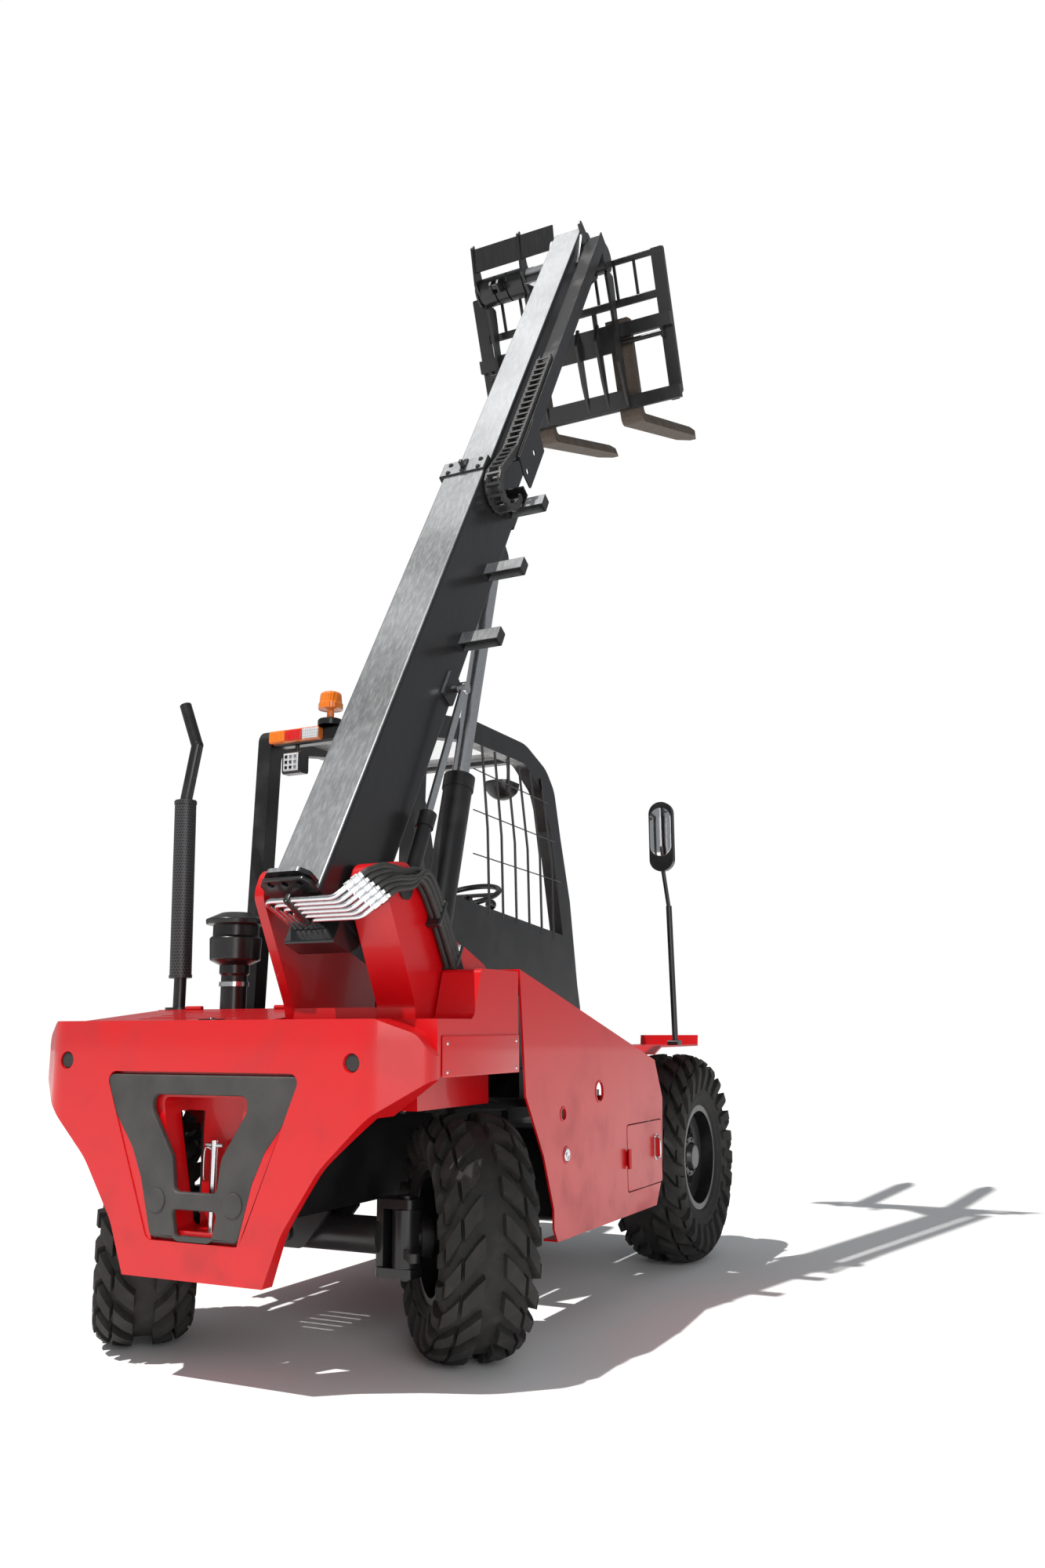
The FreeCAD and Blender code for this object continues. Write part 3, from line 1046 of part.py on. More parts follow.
def make_seat():
    base = bar("seat_base", "XZ", "90", "410", box_outline("760", "cab_floor_z", "1120", "1150", 20))
    cushion = bar("seat_cushion", "XZ", "10", "490",
                  [("700", "1140", 30), ("1210", "1150", 40), ("1225", "1250", 45), ("720", "1225", 30)])
    back = bar("seat_back", "XZ", "30", "470",
               [("700", "1190", 30), ("800", "1200", 30), ("760", "1700", 50), ("640", "1680", 40)])
    return stand(fused("operator_seat", [base, cushion, back]), "machine")


def make_console():
    tower = bar("console_box", "XZ", "60", "390",
                [("1700", "1000"), ("1866", "cab_floor_z + 8", 1), ("1944", "1040", 1), ("1960", "1400", 40),
                 ("1850", "1480", 30), ("1720", "1330", 40)])
    column = rod("steering_column", 24, ("1800", "224", "1380"), ("1632", "224", "1776"))
    wheel = doc.addObject("Part::Torus", "steering_wheel")
    wheel.Radius1, wheel.Radius2 = 165, 14
    wheel.Placement = Placement(Vector(1628, 224, 1781), Rotation(Vector(0, 1, 0), -23))
    spokes = [rod(f"wheel_spoke_{number}", 10, ("1628", "224", "1781"), end) for number, end in
              enumerate((("1628", "389", "1781"), ("1628", "59", "1781"), ("1476", "224", "1716")))]
    return stand(fused("steering_console", [tower, column, wheel] + spokes), "machine")


def make_levers():
    box = bar("lever_box", "XZ", "cab_right_y + 12", "-60",
              [("860", "cab_floor_z"), ("1330", "cab_floor_z"), ("1330", "1440", 40),
               ("1200", "1500", 40), ("860", "1440", 40)])
    stick = rod("lever_stick", 9, ("1255", "-108", "1450"), ("1255", "-108", "1670"))
    knob = doc.addObject("Part::Sphere", "lever_knob")
    knob.Radius = 26
    knob.Placement.Base = Vector(1255, -108, 1688)
    return stand(fused("lever_console", [box, stick, knob]), "machine")


def make_lights():
    lamp = bar("tail_light", "YZ", "462", "491.5", box_outline("330", "2372", "600", "2428", 10))
    stand(lamp, "machine")
    work = bar("work_lamp_case", "XZ", "430", "530", box_outline("470", "2230", "530", "2330", 12))
    hanger = rod("work_lamp_hanger", 10, ("512", "480", "2325"), ("512", "480", "2362"))
    stand(fused("work_lamp", [work, hanger]), "machine")
    beacon = new_body("beacon_body")
    revolve(beacon, "XZ", "V_Axis", [("0", "2432"), ("48", "2432"), ("48", "2444"), ("16", "2448"),
                                    ("16", "2500"), ("54", "2506"), ("54", "2530"), ("50", "2536"),
                                    ("46", "2580", 16), ("0", "2592")])
    beacon.Placement.Base = Vector(504, 300, 0)
    stand(fused("warning_beacon", [beacon, rod("beacon_stem", 14, ("504", "300", "2433"),
                                              ("504", "300", "2510"))]), "machine")


def make_mirrors():
    dome = doc.addObject("Part::Sphere", "dome_ball")
    dome.Radius = 88
    dome.Placement.Base = Vector(1395, -98, 2300)
    slab = bar("dome_slab", "XZ", "-158", "-8", box_outline("1300", "2200", "1490", "2300"))
    bowl = doc.addObject("Part::Common", "dome_bowl")
    bowl.Base, bowl.Tool = dome, slab
    stem = rod("dome_stem", 8, ("1395", "-130", "2290"), ("1395", "-130", "canopy_top - 103"))
    stand(fused("dome_mirror", [bowl, stem]), "machine")
    foot = bar("mirror_foot", "XZ", "-812", "-760", box_outline("1830", "1038", "1890", "1060", 8))
    lower = rod("mirror_post", 14, ("1860", "-790", "1046"), ("1820", "-790", "1700"))
    upper = rod("mirror_arm", 10, ("1820", "-790", "1690"), ("1745", "-790", "1880"))
    glass = new_body("mirror_glass")
    pad(glass, "YZ", "1728", "1760", box_outline("-850", "1860", "-730", "2200", 58))
    stand(fused("right_mirror", [foot, lower, upper, glass]), "machine")


def make_fender(side, sign):
    low, high = ("-body_half", "-504") if sign < 0 else ("body_half - 160", "body_half")
    top = bar(f"fender_top_{side}", "XZ", low, high,
              [("1532", "1000"), ("1620", "1030", 20), ("2150", "1030"), ("2158", "1083"),
               ("2150", "1083"), ("2143", "1038"), ("1616", "1038", 20), ("1526", "1006")])
    if sign > 0:
        top.Label = f"front_fender_{side}"
        return stand(top, "machine")
    low, high = ("-512", "-474") if sign < 0 else ("474", "512")
    bridge = bar(f"fender_ledge_{side}", "XZ", low, high, box_outline("2090", "1022", "2140", "1031"))
    low, high = ("-482", "-474") if sign < 0 else ("474", "482")
    post = bar(f"fender_post_{side}", "XZ", low, high, box_outline("2090", "742", "2140", "1031"))
    low, high = ("-481", "-rail_y") if sign < 0 else ("rail_y", "481")
    arm = bar(f"fender_arm_{side}", "XZ", low, high, box_outline("2090", "742", "2140", "782"))
    return stand(fused(f"front_fender_{side}", [top, bridge, post, arm]), "machine")


def make_side_pipe():
    return stand(rod("cooling_pipe", 27, ("-210", "-424", "870"), ("20", "-505", "864")), "machine")


# ---------------------------------------------------------------- build, check and export
def build():
    fill_sheet()
    make_counterweight()
    make_grille()
    make_tow_pin()
    make_chassis()
    make_engine()
    make_rear_axle()
    make_front_axle()
    for side, sign in SIDES:
        make_knuckle(side, sign)
        make_wheel("rear", side, sign, f"{side} knuckle", f"{sign}*wheel_offset", "rear_tyre_w",
                   "rear_tyre_r", "rear_rim_r", "stub_r + pin_gap", 40)
        make_wheel("front", side, sign, f"front {side}", "0", "front_tyre_w",
                   "front_tyre_r", "front_rim_r", "hub_r + pin_gap", 40)
        make_fender(side, sign)
        make_fork(side, sign)
    for make in (make_right_panel, make_tank, make_rear_box, make_side_door, make_left_panel,
                 make_engine_deck, make_hood, make_exhaust, make_air_cleaner, make_tower,
                 make_boom_outer, make_boom_inner, make_boom_head, make_tray, make_chain,
                 make_inner_tray, make_boom_tubes, make_level_link, make_hitch, make_carriage,
                 make_canopy, make_roof, make_side_guard, make_cab_floor, make_seat, make_console,
                 make_levers, make_lights, make_mirrors):
        make()
    lift = f"sqrt(({LIFT_EYE['x']} - lift_foot_x)^2 + ({LIFT_EYE['z']} - lift_foot_z)^2)"
    comp = f"sqrt(({COMP_EYE['x']} - comp_foot_x)^2 + ({COMP_EYE['z']} - comp_foot_z)^2)"
    make_cylinder("lift", "lift", "lift_barrel_r", "lift_rod_r", "lift_barrel_len", lift, 1050, 50, 28,
                  38, 38)
    make_cylinder("comp", "comp", "comp_barrel_r", "comp_rod_r", "comp_barrel_len", comp, 130, 30, 14,
                  20, 18)


def export():
    doc.recompute()
    for item in doc.Objects:
        if "Invalid" in item.State or "Error" in item.State:
            raise RuntimeError(f"{item.Label} failed: {item.State}")
    os.makedirs("parts", exist_ok=True)
    for name, piece in nodes.items():
        if piece.Shape.isNull() or not piece.Shape.isValid() or not piece.Shape.Solids:
            raise RuntimeError(f"{name} has no valid solid")
        piece.Shape.exportStep(f"parts/{name}.step")
    print(len(nodes), "nodes")


build()
export()
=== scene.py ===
"""Looks of a compact telescopic handler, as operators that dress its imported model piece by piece."""

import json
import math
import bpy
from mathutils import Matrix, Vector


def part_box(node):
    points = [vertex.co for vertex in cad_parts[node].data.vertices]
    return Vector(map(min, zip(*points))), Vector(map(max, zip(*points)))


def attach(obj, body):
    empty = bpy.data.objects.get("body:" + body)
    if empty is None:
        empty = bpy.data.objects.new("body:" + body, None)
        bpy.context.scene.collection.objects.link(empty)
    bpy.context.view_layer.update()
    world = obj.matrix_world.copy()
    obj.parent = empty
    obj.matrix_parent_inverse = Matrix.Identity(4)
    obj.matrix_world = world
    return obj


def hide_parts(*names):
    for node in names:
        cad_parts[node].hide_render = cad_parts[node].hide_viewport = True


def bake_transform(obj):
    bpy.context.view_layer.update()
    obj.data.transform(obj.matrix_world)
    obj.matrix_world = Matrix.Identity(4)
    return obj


bl_info = {
    "name": "Telescopic handler dresser",
    "version": (1, 0, 0),
    "blender": (4, 5, 0),
    "location": "View3D > Sidebar > Handler",
    "description": "Builds the visible pieces and finishes of a compact telescopic handler",
    "category": "Object",
}

import bmesh
import bpy
import numpy as np
from bpy.props import FloatProperty, FloatVectorProperty, IntProperty, PointerProperty
from mathutils import Matrix, Vector

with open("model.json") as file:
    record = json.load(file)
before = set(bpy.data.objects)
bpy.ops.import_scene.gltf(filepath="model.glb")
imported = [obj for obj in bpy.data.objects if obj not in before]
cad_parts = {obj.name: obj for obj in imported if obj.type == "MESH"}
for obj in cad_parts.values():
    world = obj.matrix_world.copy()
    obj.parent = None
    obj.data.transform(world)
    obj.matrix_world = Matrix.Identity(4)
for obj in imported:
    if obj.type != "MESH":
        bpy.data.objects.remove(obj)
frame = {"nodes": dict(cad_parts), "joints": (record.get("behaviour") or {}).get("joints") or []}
NODES = frame["nodes"]
JOINTS = {joint["name"]: joint for joint in frame["joints"]}
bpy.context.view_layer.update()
AXLE_X = sum(corner.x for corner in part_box("rear_axle")) / 2
SIDES = (("right", -1), ("left", 1))
RIBS = 620              # a coloured lens's ribs, in radians of their wave for each metre
GUARD_Y = 0.766         # where the exhaust guard's axis stands across the machine
HOLES_ROUND, HOLES_UP = 24, 82      # the guard's holes round it, and rows in each metre


# ---------------------------------------------------------------- sizes and colours
def metres(name, description, default):
    return FloatProperty(name=name, description=description, default=default, unit="LENGTH")


def paint(name, description, default):
    return FloatVectorProperty(name=name, description=description, default=default, size=3,
                               subtype="COLOR", min=0, max=1)


class HandlerColours(bpy.types.PropertyGroup):
    """Colours of the handler's finishes."""
    body: paint("Body paint", "Gloss enamel on the panels and castings", (0.56, 0.002, 0.005))
    frame: paint("Frame paint", "Black enamel on boom, chassis and canopy", (0.012, 0.012, 0.013))
    rubber: paint("Rubber", "Tyre rubber", (0.022, 0.021, 0.02))
    fork: paint("Fork steel", "Bare worn steel of the fork blades", (0.075, 0.058, 0.046))
    steel: paint("Bright steel", "Plated tubes, rods and fittings", (0.72, 0.73, 0.75))
    amber: paint("Amber lens", "Turn lamp and beacon", (1.0, 0.23, 0.01))
    tail: paint("Tail lens", "Red part of the tail lamp", (0.75, 0.01, 0.01))


class HandlerSizes(bpy.types.PropertyGroup):
    """Sizes of the pieces that dress the frame."""
    lug_height: metres("Lug height", "Height of the tyre lugs over the carcass", 0.03)
    lug_count: IntProperty(name="Lugs", description="Lugs on each side of a tyre", default=20, min=8)
    hose_radius: metres("Hose radius", "Outer radius of the hydraulic hoses", 0.011)
    nut_radius: metres("Wheel nut", "Half the width of a wheel nut", 0.014)


# ---------------------------------------------------------------- shader arithmetic
class Sock:
    """A shader socket that takes part in Python arithmetic; each operation adds its Math node."""

    def __init__(self, graph, socket):
        self.graph, self.socket = graph, socket

    def math(self, operation, *others, clamp=False):
        node = self.graph.tree.nodes.new("ShaderNodeMath")
        node.operation, node.use_clamp = operation, clamp
        for slot, term in zip(node.inputs, (self, *others)):
            self.graph.feed(slot, term)
        return Sock(self.graph, node.outputs[0])

    def _flip(self, operation, other):
        return self.graph.number(other).math(operation, self)

    def __add__(self, other): return self.math("ADD", other)
    def __sub__(self, other): return self.math("SUBTRACT", other)
    def __mul__(self, other): return self.math("MULTIPLY", other)
    def __lt__(self, other): return self.math("LESS_THAN", other)
    def __gt__(self, other): return self.math("GREATER_THAN", other)
    def __radd__(self, other): return self.math("ADD", other)
    def __rmul__(self, other): return self.math("MULTIPLY", other)
    def __rsub__(self, other): return self._flip("SUBTRACT", other)
    def mod(self, other): return self.math("FLOORED_MODULO", other)
    def unit(self): return self.math("ADD", 0, clamp=True)

    def ramp(self, low, high):
        """0 below low, 1 above high, smooth between."""
        return self.graph.node("ShaderNodeMapRange", dict(interpolation_type="SMOOTHSTEP"),
                               {"Value": self, "From Min": low, "From Max": high})["Result"]

    def mix(self, low, high):
        """The colour low where this is 0 and high where it is 1."""
        node = self.graph.tree.nodes.new("ShaderNodeMix")
        node.data_type = "RGBA"
        self.graph.feed(node.inputs[0], self)
        self.graph.feed(node.inputs[6], low)
        self.graph.feed(node.inputs[7], high)
        return Sock(self.graph, node.outputs[2])


class Graph:
    """A material's node tree around one Principled shader."""

    def __init__(self, name):
        self.material = bpy.data.materials.new(name)
        self.material.use_nodes = True
        self.tree = self.material.node_tree
        self.shader = self.tree.nodes["Principled BSDF"]
        place = self.node("ShaderNodeTexCoord")
        self.place = place["Object"]
        split = self.node("ShaderNodeSeparateXYZ", {}, {"Vector": self.place})
        self.x, self.y, self.z = split["X"], split["Y"], split["Z"]

    def feed(self, slot, term):
        """Link a socket, or set a plain number or colour."""
        if isinstance(term, Sock):
            self.tree.links.new(term.socket, slot)
        elif slot.type == "RGBA" and len(term) == 3:
            slot.default_value = (*term, 1)
        else:
            slot.default_value = term

    def node(self, kind, settings=None, sockets=None):
        """Any node: its settings first, then its sockets. Gives its outputs by name."""
        node = self.tree.nodes.new(kind)
        for key, term in (settings or {}).items():
            setattr(node, key, term)
        for key, term in (sockets or {}).items():
            self.feed(node.inputs[key], term)
        return {output.name: Sock(self, output) for output in node.outputs}

    def number(self, term):
        """A plain number as a socket."""
        if isinstance(term, Sock):
            return term
        node = self.tree.nodes.new("ShaderNodeValue")
        node.outputs[0].default_value = term
        return Sock(self, node.outputs[0])

    def noise(self, scale, detail=3.0, roughness=0.5, stretch=(1, 1, 1)):
        """Fractal noise, 0 to 1; stretch scales the pattern along each axis."""
        spot = self.node("ShaderNodeMapping", {}, {"Vector": self.place, "Scale": stretch})
        return self.node("ShaderNodeTexNoise", {}, {"Vector": spot["Vector"], "Scale": scale,
                         "Detail": detail, "Roughness": roughness})["Fac"]

    def cells(self, scale):
        """Distance to the nearest of scattered cell centres."""
        return self.node("ShaderNodeTexVoronoi", dict(feature="F1"),
                         {"Vector": self.place, "Scale": scale})["Distance"]

    def finish(self, bump=None, depth=0.002, **sockets):
        """Feed the shader's sockets, with relief of the given depth, and give the material."""
        for key, term in sockets.items():
            self.feed(self.shader.inputs[key.replace("_", " ")], term)
        if bump is not None:
            normal = self.node("ShaderNodeBump", {}, {"Height": bump, "Distance": depth})["Normal"]
            self.feed(self.shader.inputs["Normal"], normal)
        return self.material


def colours():
    return bpy.context.scene.handler_colours


def sizes():
    return bpy.context.scene.handler_sizes


def tone(name, gain=1.0):
    return tuple(min(1.0, channel * gain) for channel in getattr(colours(), name))


MATERIALS = {}


def finish_of(name):
    """The named finish, made on first use."""
    if name not in MATERIALS:
        MATERIALS[name] = FINISHES[name](Graph(name))
    return MATERIALS[name]


def gloss_enamel(g):
    """Gloss enamel: orange peel, faint dust near the ground and in the noise, thin clear coat."""
    dust = (g.noise(6, 5) * g.noise(2.2, 3)).ramp(0.22, 0.5)
    low = 1 - g.z.ramp(0.35, 1.1)
    grime = (dust * 0.35 + low * g.noise(9, 6).ramp(0.45, 0.75) * 0.45).unit()
    colour = grime.mix(tone("body"), (0.30, 0.012, 0.012))
    peel = g.noise(260, 2)
    return g.finish(peel, 0.00025, Base_Color=colour, Roughness=grime * 0.3 + 0.3,
                    Coat_Weight=0.3, Coat_Roughness=0.06)


def satin_black(g):
    """Black enamel with dusty patches and a slight orange peel."""
    dust = g.noise(7, 6).ramp(0.45, 0.8)
    colour = (dust * 0.3).mix(tone("frame", 0.8), (0.04, 0.038, 0.035))
    return g.finish(g.noise(220, 2), 0.0003, Base_Color=colour, Roughness=dust * 0.25 + 0.3,
                    Coat_Weight=0.2, Coat_Roughness=0.15)


def boom_black(g):
    """Black boom enamel; the faces turned to the sky are painted light grey, a painted highlight of
    the sun's glare mixed with some dust, stronger higher up, with drag marks along the boom and screw
    stains."""
    sky = g.node("ShaderNodeTexCoord")["Normal"]
    up = g.node("ShaderNodeVectorMath", dict(operation="DOT_PRODUCT"),
                {0: sky, 1: tuple(BOOM.up)})["Value"]
    high = g.z.ramp(2.6, 4.4)
    streak = g.noise(3, 6, 0.6, (14, 30, 2)).ramp(0.35, 0.8)
    cloud = g.noise(2.4, 4).ramp(0.3, 0.7)
    # painted highlight: faces turned to the sky get a light grey that stands for the sun's glare on
    # the black enamel, stronger higher up, varied by dust streaks and cloudy stains
    glare_and_dust_strength = 0.30 + high * 0.55 + (streak - 0.5) * 0.14 + (cloud - 0.5) * 0.18
    painted_glare_and_dust = up.ramp(0.75, 0.95) * glare_and_dust_strength
    # the light grey is the painted glare colour, mixed with some dust
    colour = painted_glare_and_dust.unit().mix(tone("frame"), (0.62, 0.64, 0.66))
    return g.finish(g.noise(180, 2), 0.0002, Base_Color=colour, Roughness=streak * 0.12 + 0.3,
                    Coat_Weight=0.3, Coat_Roughness=0.12)


def tyre_rubber(g):
    """Matte rubber, dusty on the raised faces, with fine moulding grain."""
    dust = g.noise(18, 6, 0.6).ramp(0.42, 0.72)
    colour = (dust * 0.4).mix(tone("rubber", 0.6), (0.055, 0.05, 0.044))
    return g.finish(g.noise(320, 3), 0.0008, Base_Color=colour, Roughness=dust * 0.1 + 0.78)


def mottled(grain, depth, cloud, dark, light, roughness):
    """A maker of plain finishes: fine grain in relief over a cloudy change from dark to light."""
    def maker(g):
        colour = g.noise(*cloud).mix(dark, light)
        return g.finish(g.noise(*grain), depth, Base_Color=colour, Roughness=roughness)
    return maker


def worn_steel(g):
    """Fork steel: brown oxide, long scratches and bright worn ends."""
    rust = g.noise(14, 7, 0.62)
    scratch = g.noise(5, 8, 0.7, (2, 60, 60)).ramp(0.5, 0.75)
    base = rust.mix(tone("fork", 0.75), tone("fork", 1.9))
    colour = (scratch * 0.5).mix(base, (0.45, 0.42, 0.39))
    return g.finish(rust + scratch * 0.4, 0.0006, Base_Color=colour, Metallic=0.65,
                    Roughness=0.62 - scratch * 0.25)


def plated_steel(g):
    """Bright plated tube: near mirror with faint drawing lines."""
    smear = g.noise(30, 4, 0.5, (3, 3, 3))
    return g.finish(smear, 0.0002, Base_Color=smear.mix(tone("steel", 0.85), tone("steel", 1.1)),
                    Metallic=1.0, Roughness=smear * 0.18 + 0.12)


def seat_vinyl(g):
    """Grained black vinyl."""
    grain = g.cells(900)
    colour = g.noise(12, 4).mix((0.016, 0.016, 0.018), (0.035, 0.035, 0.037))
    return g.finish(grain, 0.0006, Base_Color=colour, Roughness=0.5)


def clear_sheet(g):
    """Clear polycarbonate."""
    haze = g.noise(8, 5)
    return g.finish(haze, 0.0002, Base_Color=(0.9, 0.94, 0.95), Roughness=haze * 0.08 + 0.05,
                    Alpha=0.22)


def ribbed_lens(name):
    """A maker of coloured lenses, moulded with upright ribs."""
    def maker(g):
        ribs = (g.y * RIBS).math("SINE")
        colour = ribs.ramp(-1, 1).mix(tone(name, 0.8), tone(name))
        return g.finish(ribs, 0.0008, Base_Color=colour, Roughness=0.18, Coat_Weight=0.8)
    return maker


def clear_lens(g):
    """Ribbed clear lens over a bright reflector."""
    ribs = (g.y * 500).math("SINE") + (g.z * 500).math("SINE")
    colour = ribs.ramp(-2, 2).mix((0.55, 0.56, 0.58), (0.85, 0.86, 0.88))
    return g.finish(ribs, 0.0008, Base_Color=colour, Roughness=0.12, Metallic=0.3,
                    Coat_Weight=0.8)


def mirror_glass(g):
    """Mirror: silvered glass under a faint film of dust."""
    film = g.noise(10, 5)
    colour = film.mix((0.80, 0.82, 0.83), (0.9, 0.91, 0.92))
    return g.finish(film, 0.00005, Base_Color=colour, Metallic=1.0, Roughness=film * 0.06 + 0.03)


def perforated(g):
    """Black sheet with staggered rows of round holes; the sheet is painted four times lighter than the
    frame paint as a painted highlight on the hole rims, and the holes near black as painted shade.
    """
    low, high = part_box("exhaust_stack")
    around = (g.y - GUARD_Y).math("ARCTAN2", g.x - (low.x + high.x) / 2) * (HOLES_ROUND / math.tau)
    along = g.z * HOLES_UP
    shift = ((along * 0.5).mod(1) > 0.5) * 0.5
    u, v = (around + shift).mod(1) - 0.5, along.mod(1) - 0.5
    hole = (u * u + v * v) < 0.3 ** 2
    # painted highlight: the sheet is four times lighter than the frame paint; painted shade: the holes
    # are near black
    colour = hole.mix(tone("frame", 4.0), (0.001, 0.001, 0.001))
    return g.finish(1 - hole, 0.0015, Base_Color=colour, Roughness=0.42)


FINISHES = {
    "enamel": gloss_enamel, "black": satin_black, "boom": boom_black, "rubber": tyre_rubber,
    "casting": mottled((120, 6), 0.0015, (9, 5), (0.02, 0.02, 0.021), (0.07, 0.066, 0.06), 0.55),
    "fork": worn_steel, "steel": plated_steel,
    "hose": mottled((400, 2), 0.0006, (40, 4), (0.012, 0.012, 0.012), (0.035, 0.034, 0.032), 0.55),
    "nylon": mottled((500, 2), 0.0003, (20, 4), (0.018, 0.018, 0.019), (0.05, 0.05, 0.05), 0.48),
    "vinyl": seat_vinyl, "clear": clear_sheet, "amber": ribbed_lens("amber"),
    "tail": ribbed_lens("tail"), "lens": clear_lens, "mirror": mirror_glass,
    "perforated": perforated,
}

NODE_FINISH = {
    "enamel": "counterweight right_side_panel left_side_panel right_rear_box engine_deck engine_hood "
              "boom_tower front_fender_left front_fender_right side_door",
    "boom": "boom_outer boom_inner boom_head",
    "black": "chassis_frame rear_grille canopy_frame side_guard chain_tray inner_tray tail_cover "
             "level_link hitch_frame fork_carriage lift_barrel comp_barrel exhaust_stack "
             "air_cleaner_unit lever_console steering_console cab_floor fuel_tank right_mirror "
             "dome_mirror work_lamp rear_rim_right rear_rim_left front_rim_right front_rim_left "
             "front_axle rear_axle knuckle_right knuckle_left",
    "casting": "engine_block", "fork": "fork_left fork_right",
    "steel": "lift_rod comp_rod boom_tubes tow_pin", "nylon": "energy_chain",
    "vinyl": "operator_seat", "clear": "canopy_roof", "amber": "tail_light warning_beacon",
    "rubber": "rear_tyre_right rear_tyre_left front_tyre_right front_tyre_left",
}


# ---------------------------------------------------------------- places
class Place:
    """A local frame: millimetres along three directions from an origin in the frame's metres."""

    def __init__(self, origin, along, up):
        self.origin, self.along = np.array(origin, float), np.array(along, float)
        self.along /= np.linalg.norm(self.along)
        side = np.cross(np.array(up, float), self.along)
        self.side = side / np.linalg.norm(side)
        self.up = np.cross(self.along, self.side)

    def __call__(self, points):
        """origin + x*along + y*side + z*up for an array of (x, y, z) in millimetres."""
        points = np.asarray(points, float) / 1000
        return self.origin + points @ np.array([self.along, self.side, self.up])

    def at(self, x, y, z, along=(1, 0, 0), up=(0, 0, 1)):
        """A frame inside this one, turned so that its own x and z point as given."""
        turn = np.array([self.along, self.side, self.up])
        return Place(self((x, y, z)), np.array(along) @ turn, np.array(up) @ turn)


def joint_place(name):
    return np.array(JOINTS[name]["pos_m"])


MACHINE = Place((AXLE_X, 0, 0), (1, 0, 0), (0, 0, 1))
REACH = np.array(JOINTS["boom_extend"]["axis"])
BOOM = Place(joint_place("boom_lift"), REACH, np.cross(REACH, (0, 1, 0)))


# ---------------------------------------------------------------- meshes from arrays
def grid_faces(rows, columns, closed_rows=False, closed_columns=False):
    """Quads over a grid of points, wrapping round where a direction is closed."""
    i = np.arange(rows if closed_rows else rows - 1)
    j = np.arange(columns if closed_columns else columns - 1)
    i, j = np.meshgrid(i, j, indexing="ij")
    up, over = (i + 1) % rows, (j + 1) % columns
    return np.stack([i * columns + j, i * columns + over, up * columns + over, up * columns + j],
                    -1).reshape(-1, 4)


class Mesh:
    """Arrays of points and faces that grow into one piece."""

    def __init__(self):
        self.points, self.faces, self.count = [], [], 0

    def add(self, points, faces, place=None):
        points = np.asarray(points, float).reshape(-1, 3)
        self.points.append(points if place is None else place(points))
        self.faces += [tuple(int(k) + self.count for k in face) for face in faces]
        self.count += len(points)
        return self

    def piece(self, name, body, finish, angle=35, *replaced):
        """Weld, turn the faces outwards, mark edges sharper than an angle and ride on a body."""
        mesh = bpy.data.meshes.new(name)
        mesh.from_pydata(np.concatenate(self.points).tolist(), [], self.faces)
        work = bmesh.new()
        work.from_mesh(mesh)
        bmesh.ops.remove_doubles(work, verts=work.verts, dist=2e-6)
        bmesh.ops.dissolve_degenerate(work, edges=work.edges, dist=1e-6)
        bmesh.ops.recalc_face_normals(work, faces=work.faces)
        work.to_mesh(mesh)
        work.free()
        mesh.shade_smooth()
        mesh.set_sharp_from_angle(angle=math.radians(angle))
        return settle(bpy.data.objects.new(name, mesh), body, finish, *replaced)


def settle(piece, body, finish, *replaced):
    """Link a piece at the origin, give it its finish, and ride it on a body; given two bodies with a
    start and an end (body, body, start, end), it keeps its place and rides on no body."""
    bpy.context.scene.collection.objects.link(piece)
    piece.data.materials.clear()
    piece.data.materials.append(finish_of(finish))
    if isinstance(body, tuple):
        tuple(body[2])
        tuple(body[3])
        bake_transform(piece)
    else:
        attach(piece, body)
    if replaced:
        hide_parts(*replaced)
    return piece


def single(name, body, finish, shape, place, angle=35, *replaced):
    """A piece made of one shape."""
    return Mesh().add(*shape, place).piece(name, body, finish, angle, *replaced)


def turned(profile, count=40, squash=None):
    """Surface of revolution: profile (along, radius) turned round the frame's own x; squash
    scales the radius by a function of the turning angle."""
    profile = np.asarray(profile, float)
    angle = np.linspace(0, 2 * np.pi, count, endpoint=False)
    scale = np.ones_like(angle) if squash is None else squash(angle)
    radius = profile[:, 1, None] * scale
    along = np.repeat(profile[:, :1], count, 1)
    return (np.stack([along, radius * np.cos(angle), radius * np.sin(angle)], -1),
            grid_faces(len(profile), count, closed_columns=True))


def hexagon(angle):
    """Distance to a hexagon's flat over its corner radius, as the angle goes round."""
    return np.cos(np.pi / 6) / np.cos((angle % (np.pi / 3)) - np.pi / 6)


def bolt(radius, height, washer=1.35):
    """Hexagon head with a chamfered crown on a round washer, standing along x."""
    head = turned([(height * 0.25, 0), (height * 0.25, radius), (height * 0.86, radius),
                   (height, radius * 0.86), (height, 0)], 24, hexagon)
    ring = turned([(-1, 0), (-1, radius * washer), (height * 0.22, radius * washer),
                   (height * 0.3, radius * washer * 0.95), (height * 0.3, 0)], 24)
    return head, ring


def smooth_path(points, steps=10):
    """Catmull-Rom curve through the points."""
    p = np.asarray(points, float)
    p = np.concatenate([[2 * p[0] - p[1]], p, [2 * p[-1] - p[-2]]])
    t = np.linspace(0, 1, steps, endpoint=False)[:, None]
    a, b, c, d = (p[k:len(p) - 3 + k, None] for k in range(4))
    curve = 0.5 * (2 * b + (c - a) * t + (2 * a - 5 * b + 4 * c - d) * t ** 2
                   + (3 * b - a - 3 * c + d) * t ** 3)
    return np.concatenate([curve.reshape(-1, 3), p[-2:-1]])


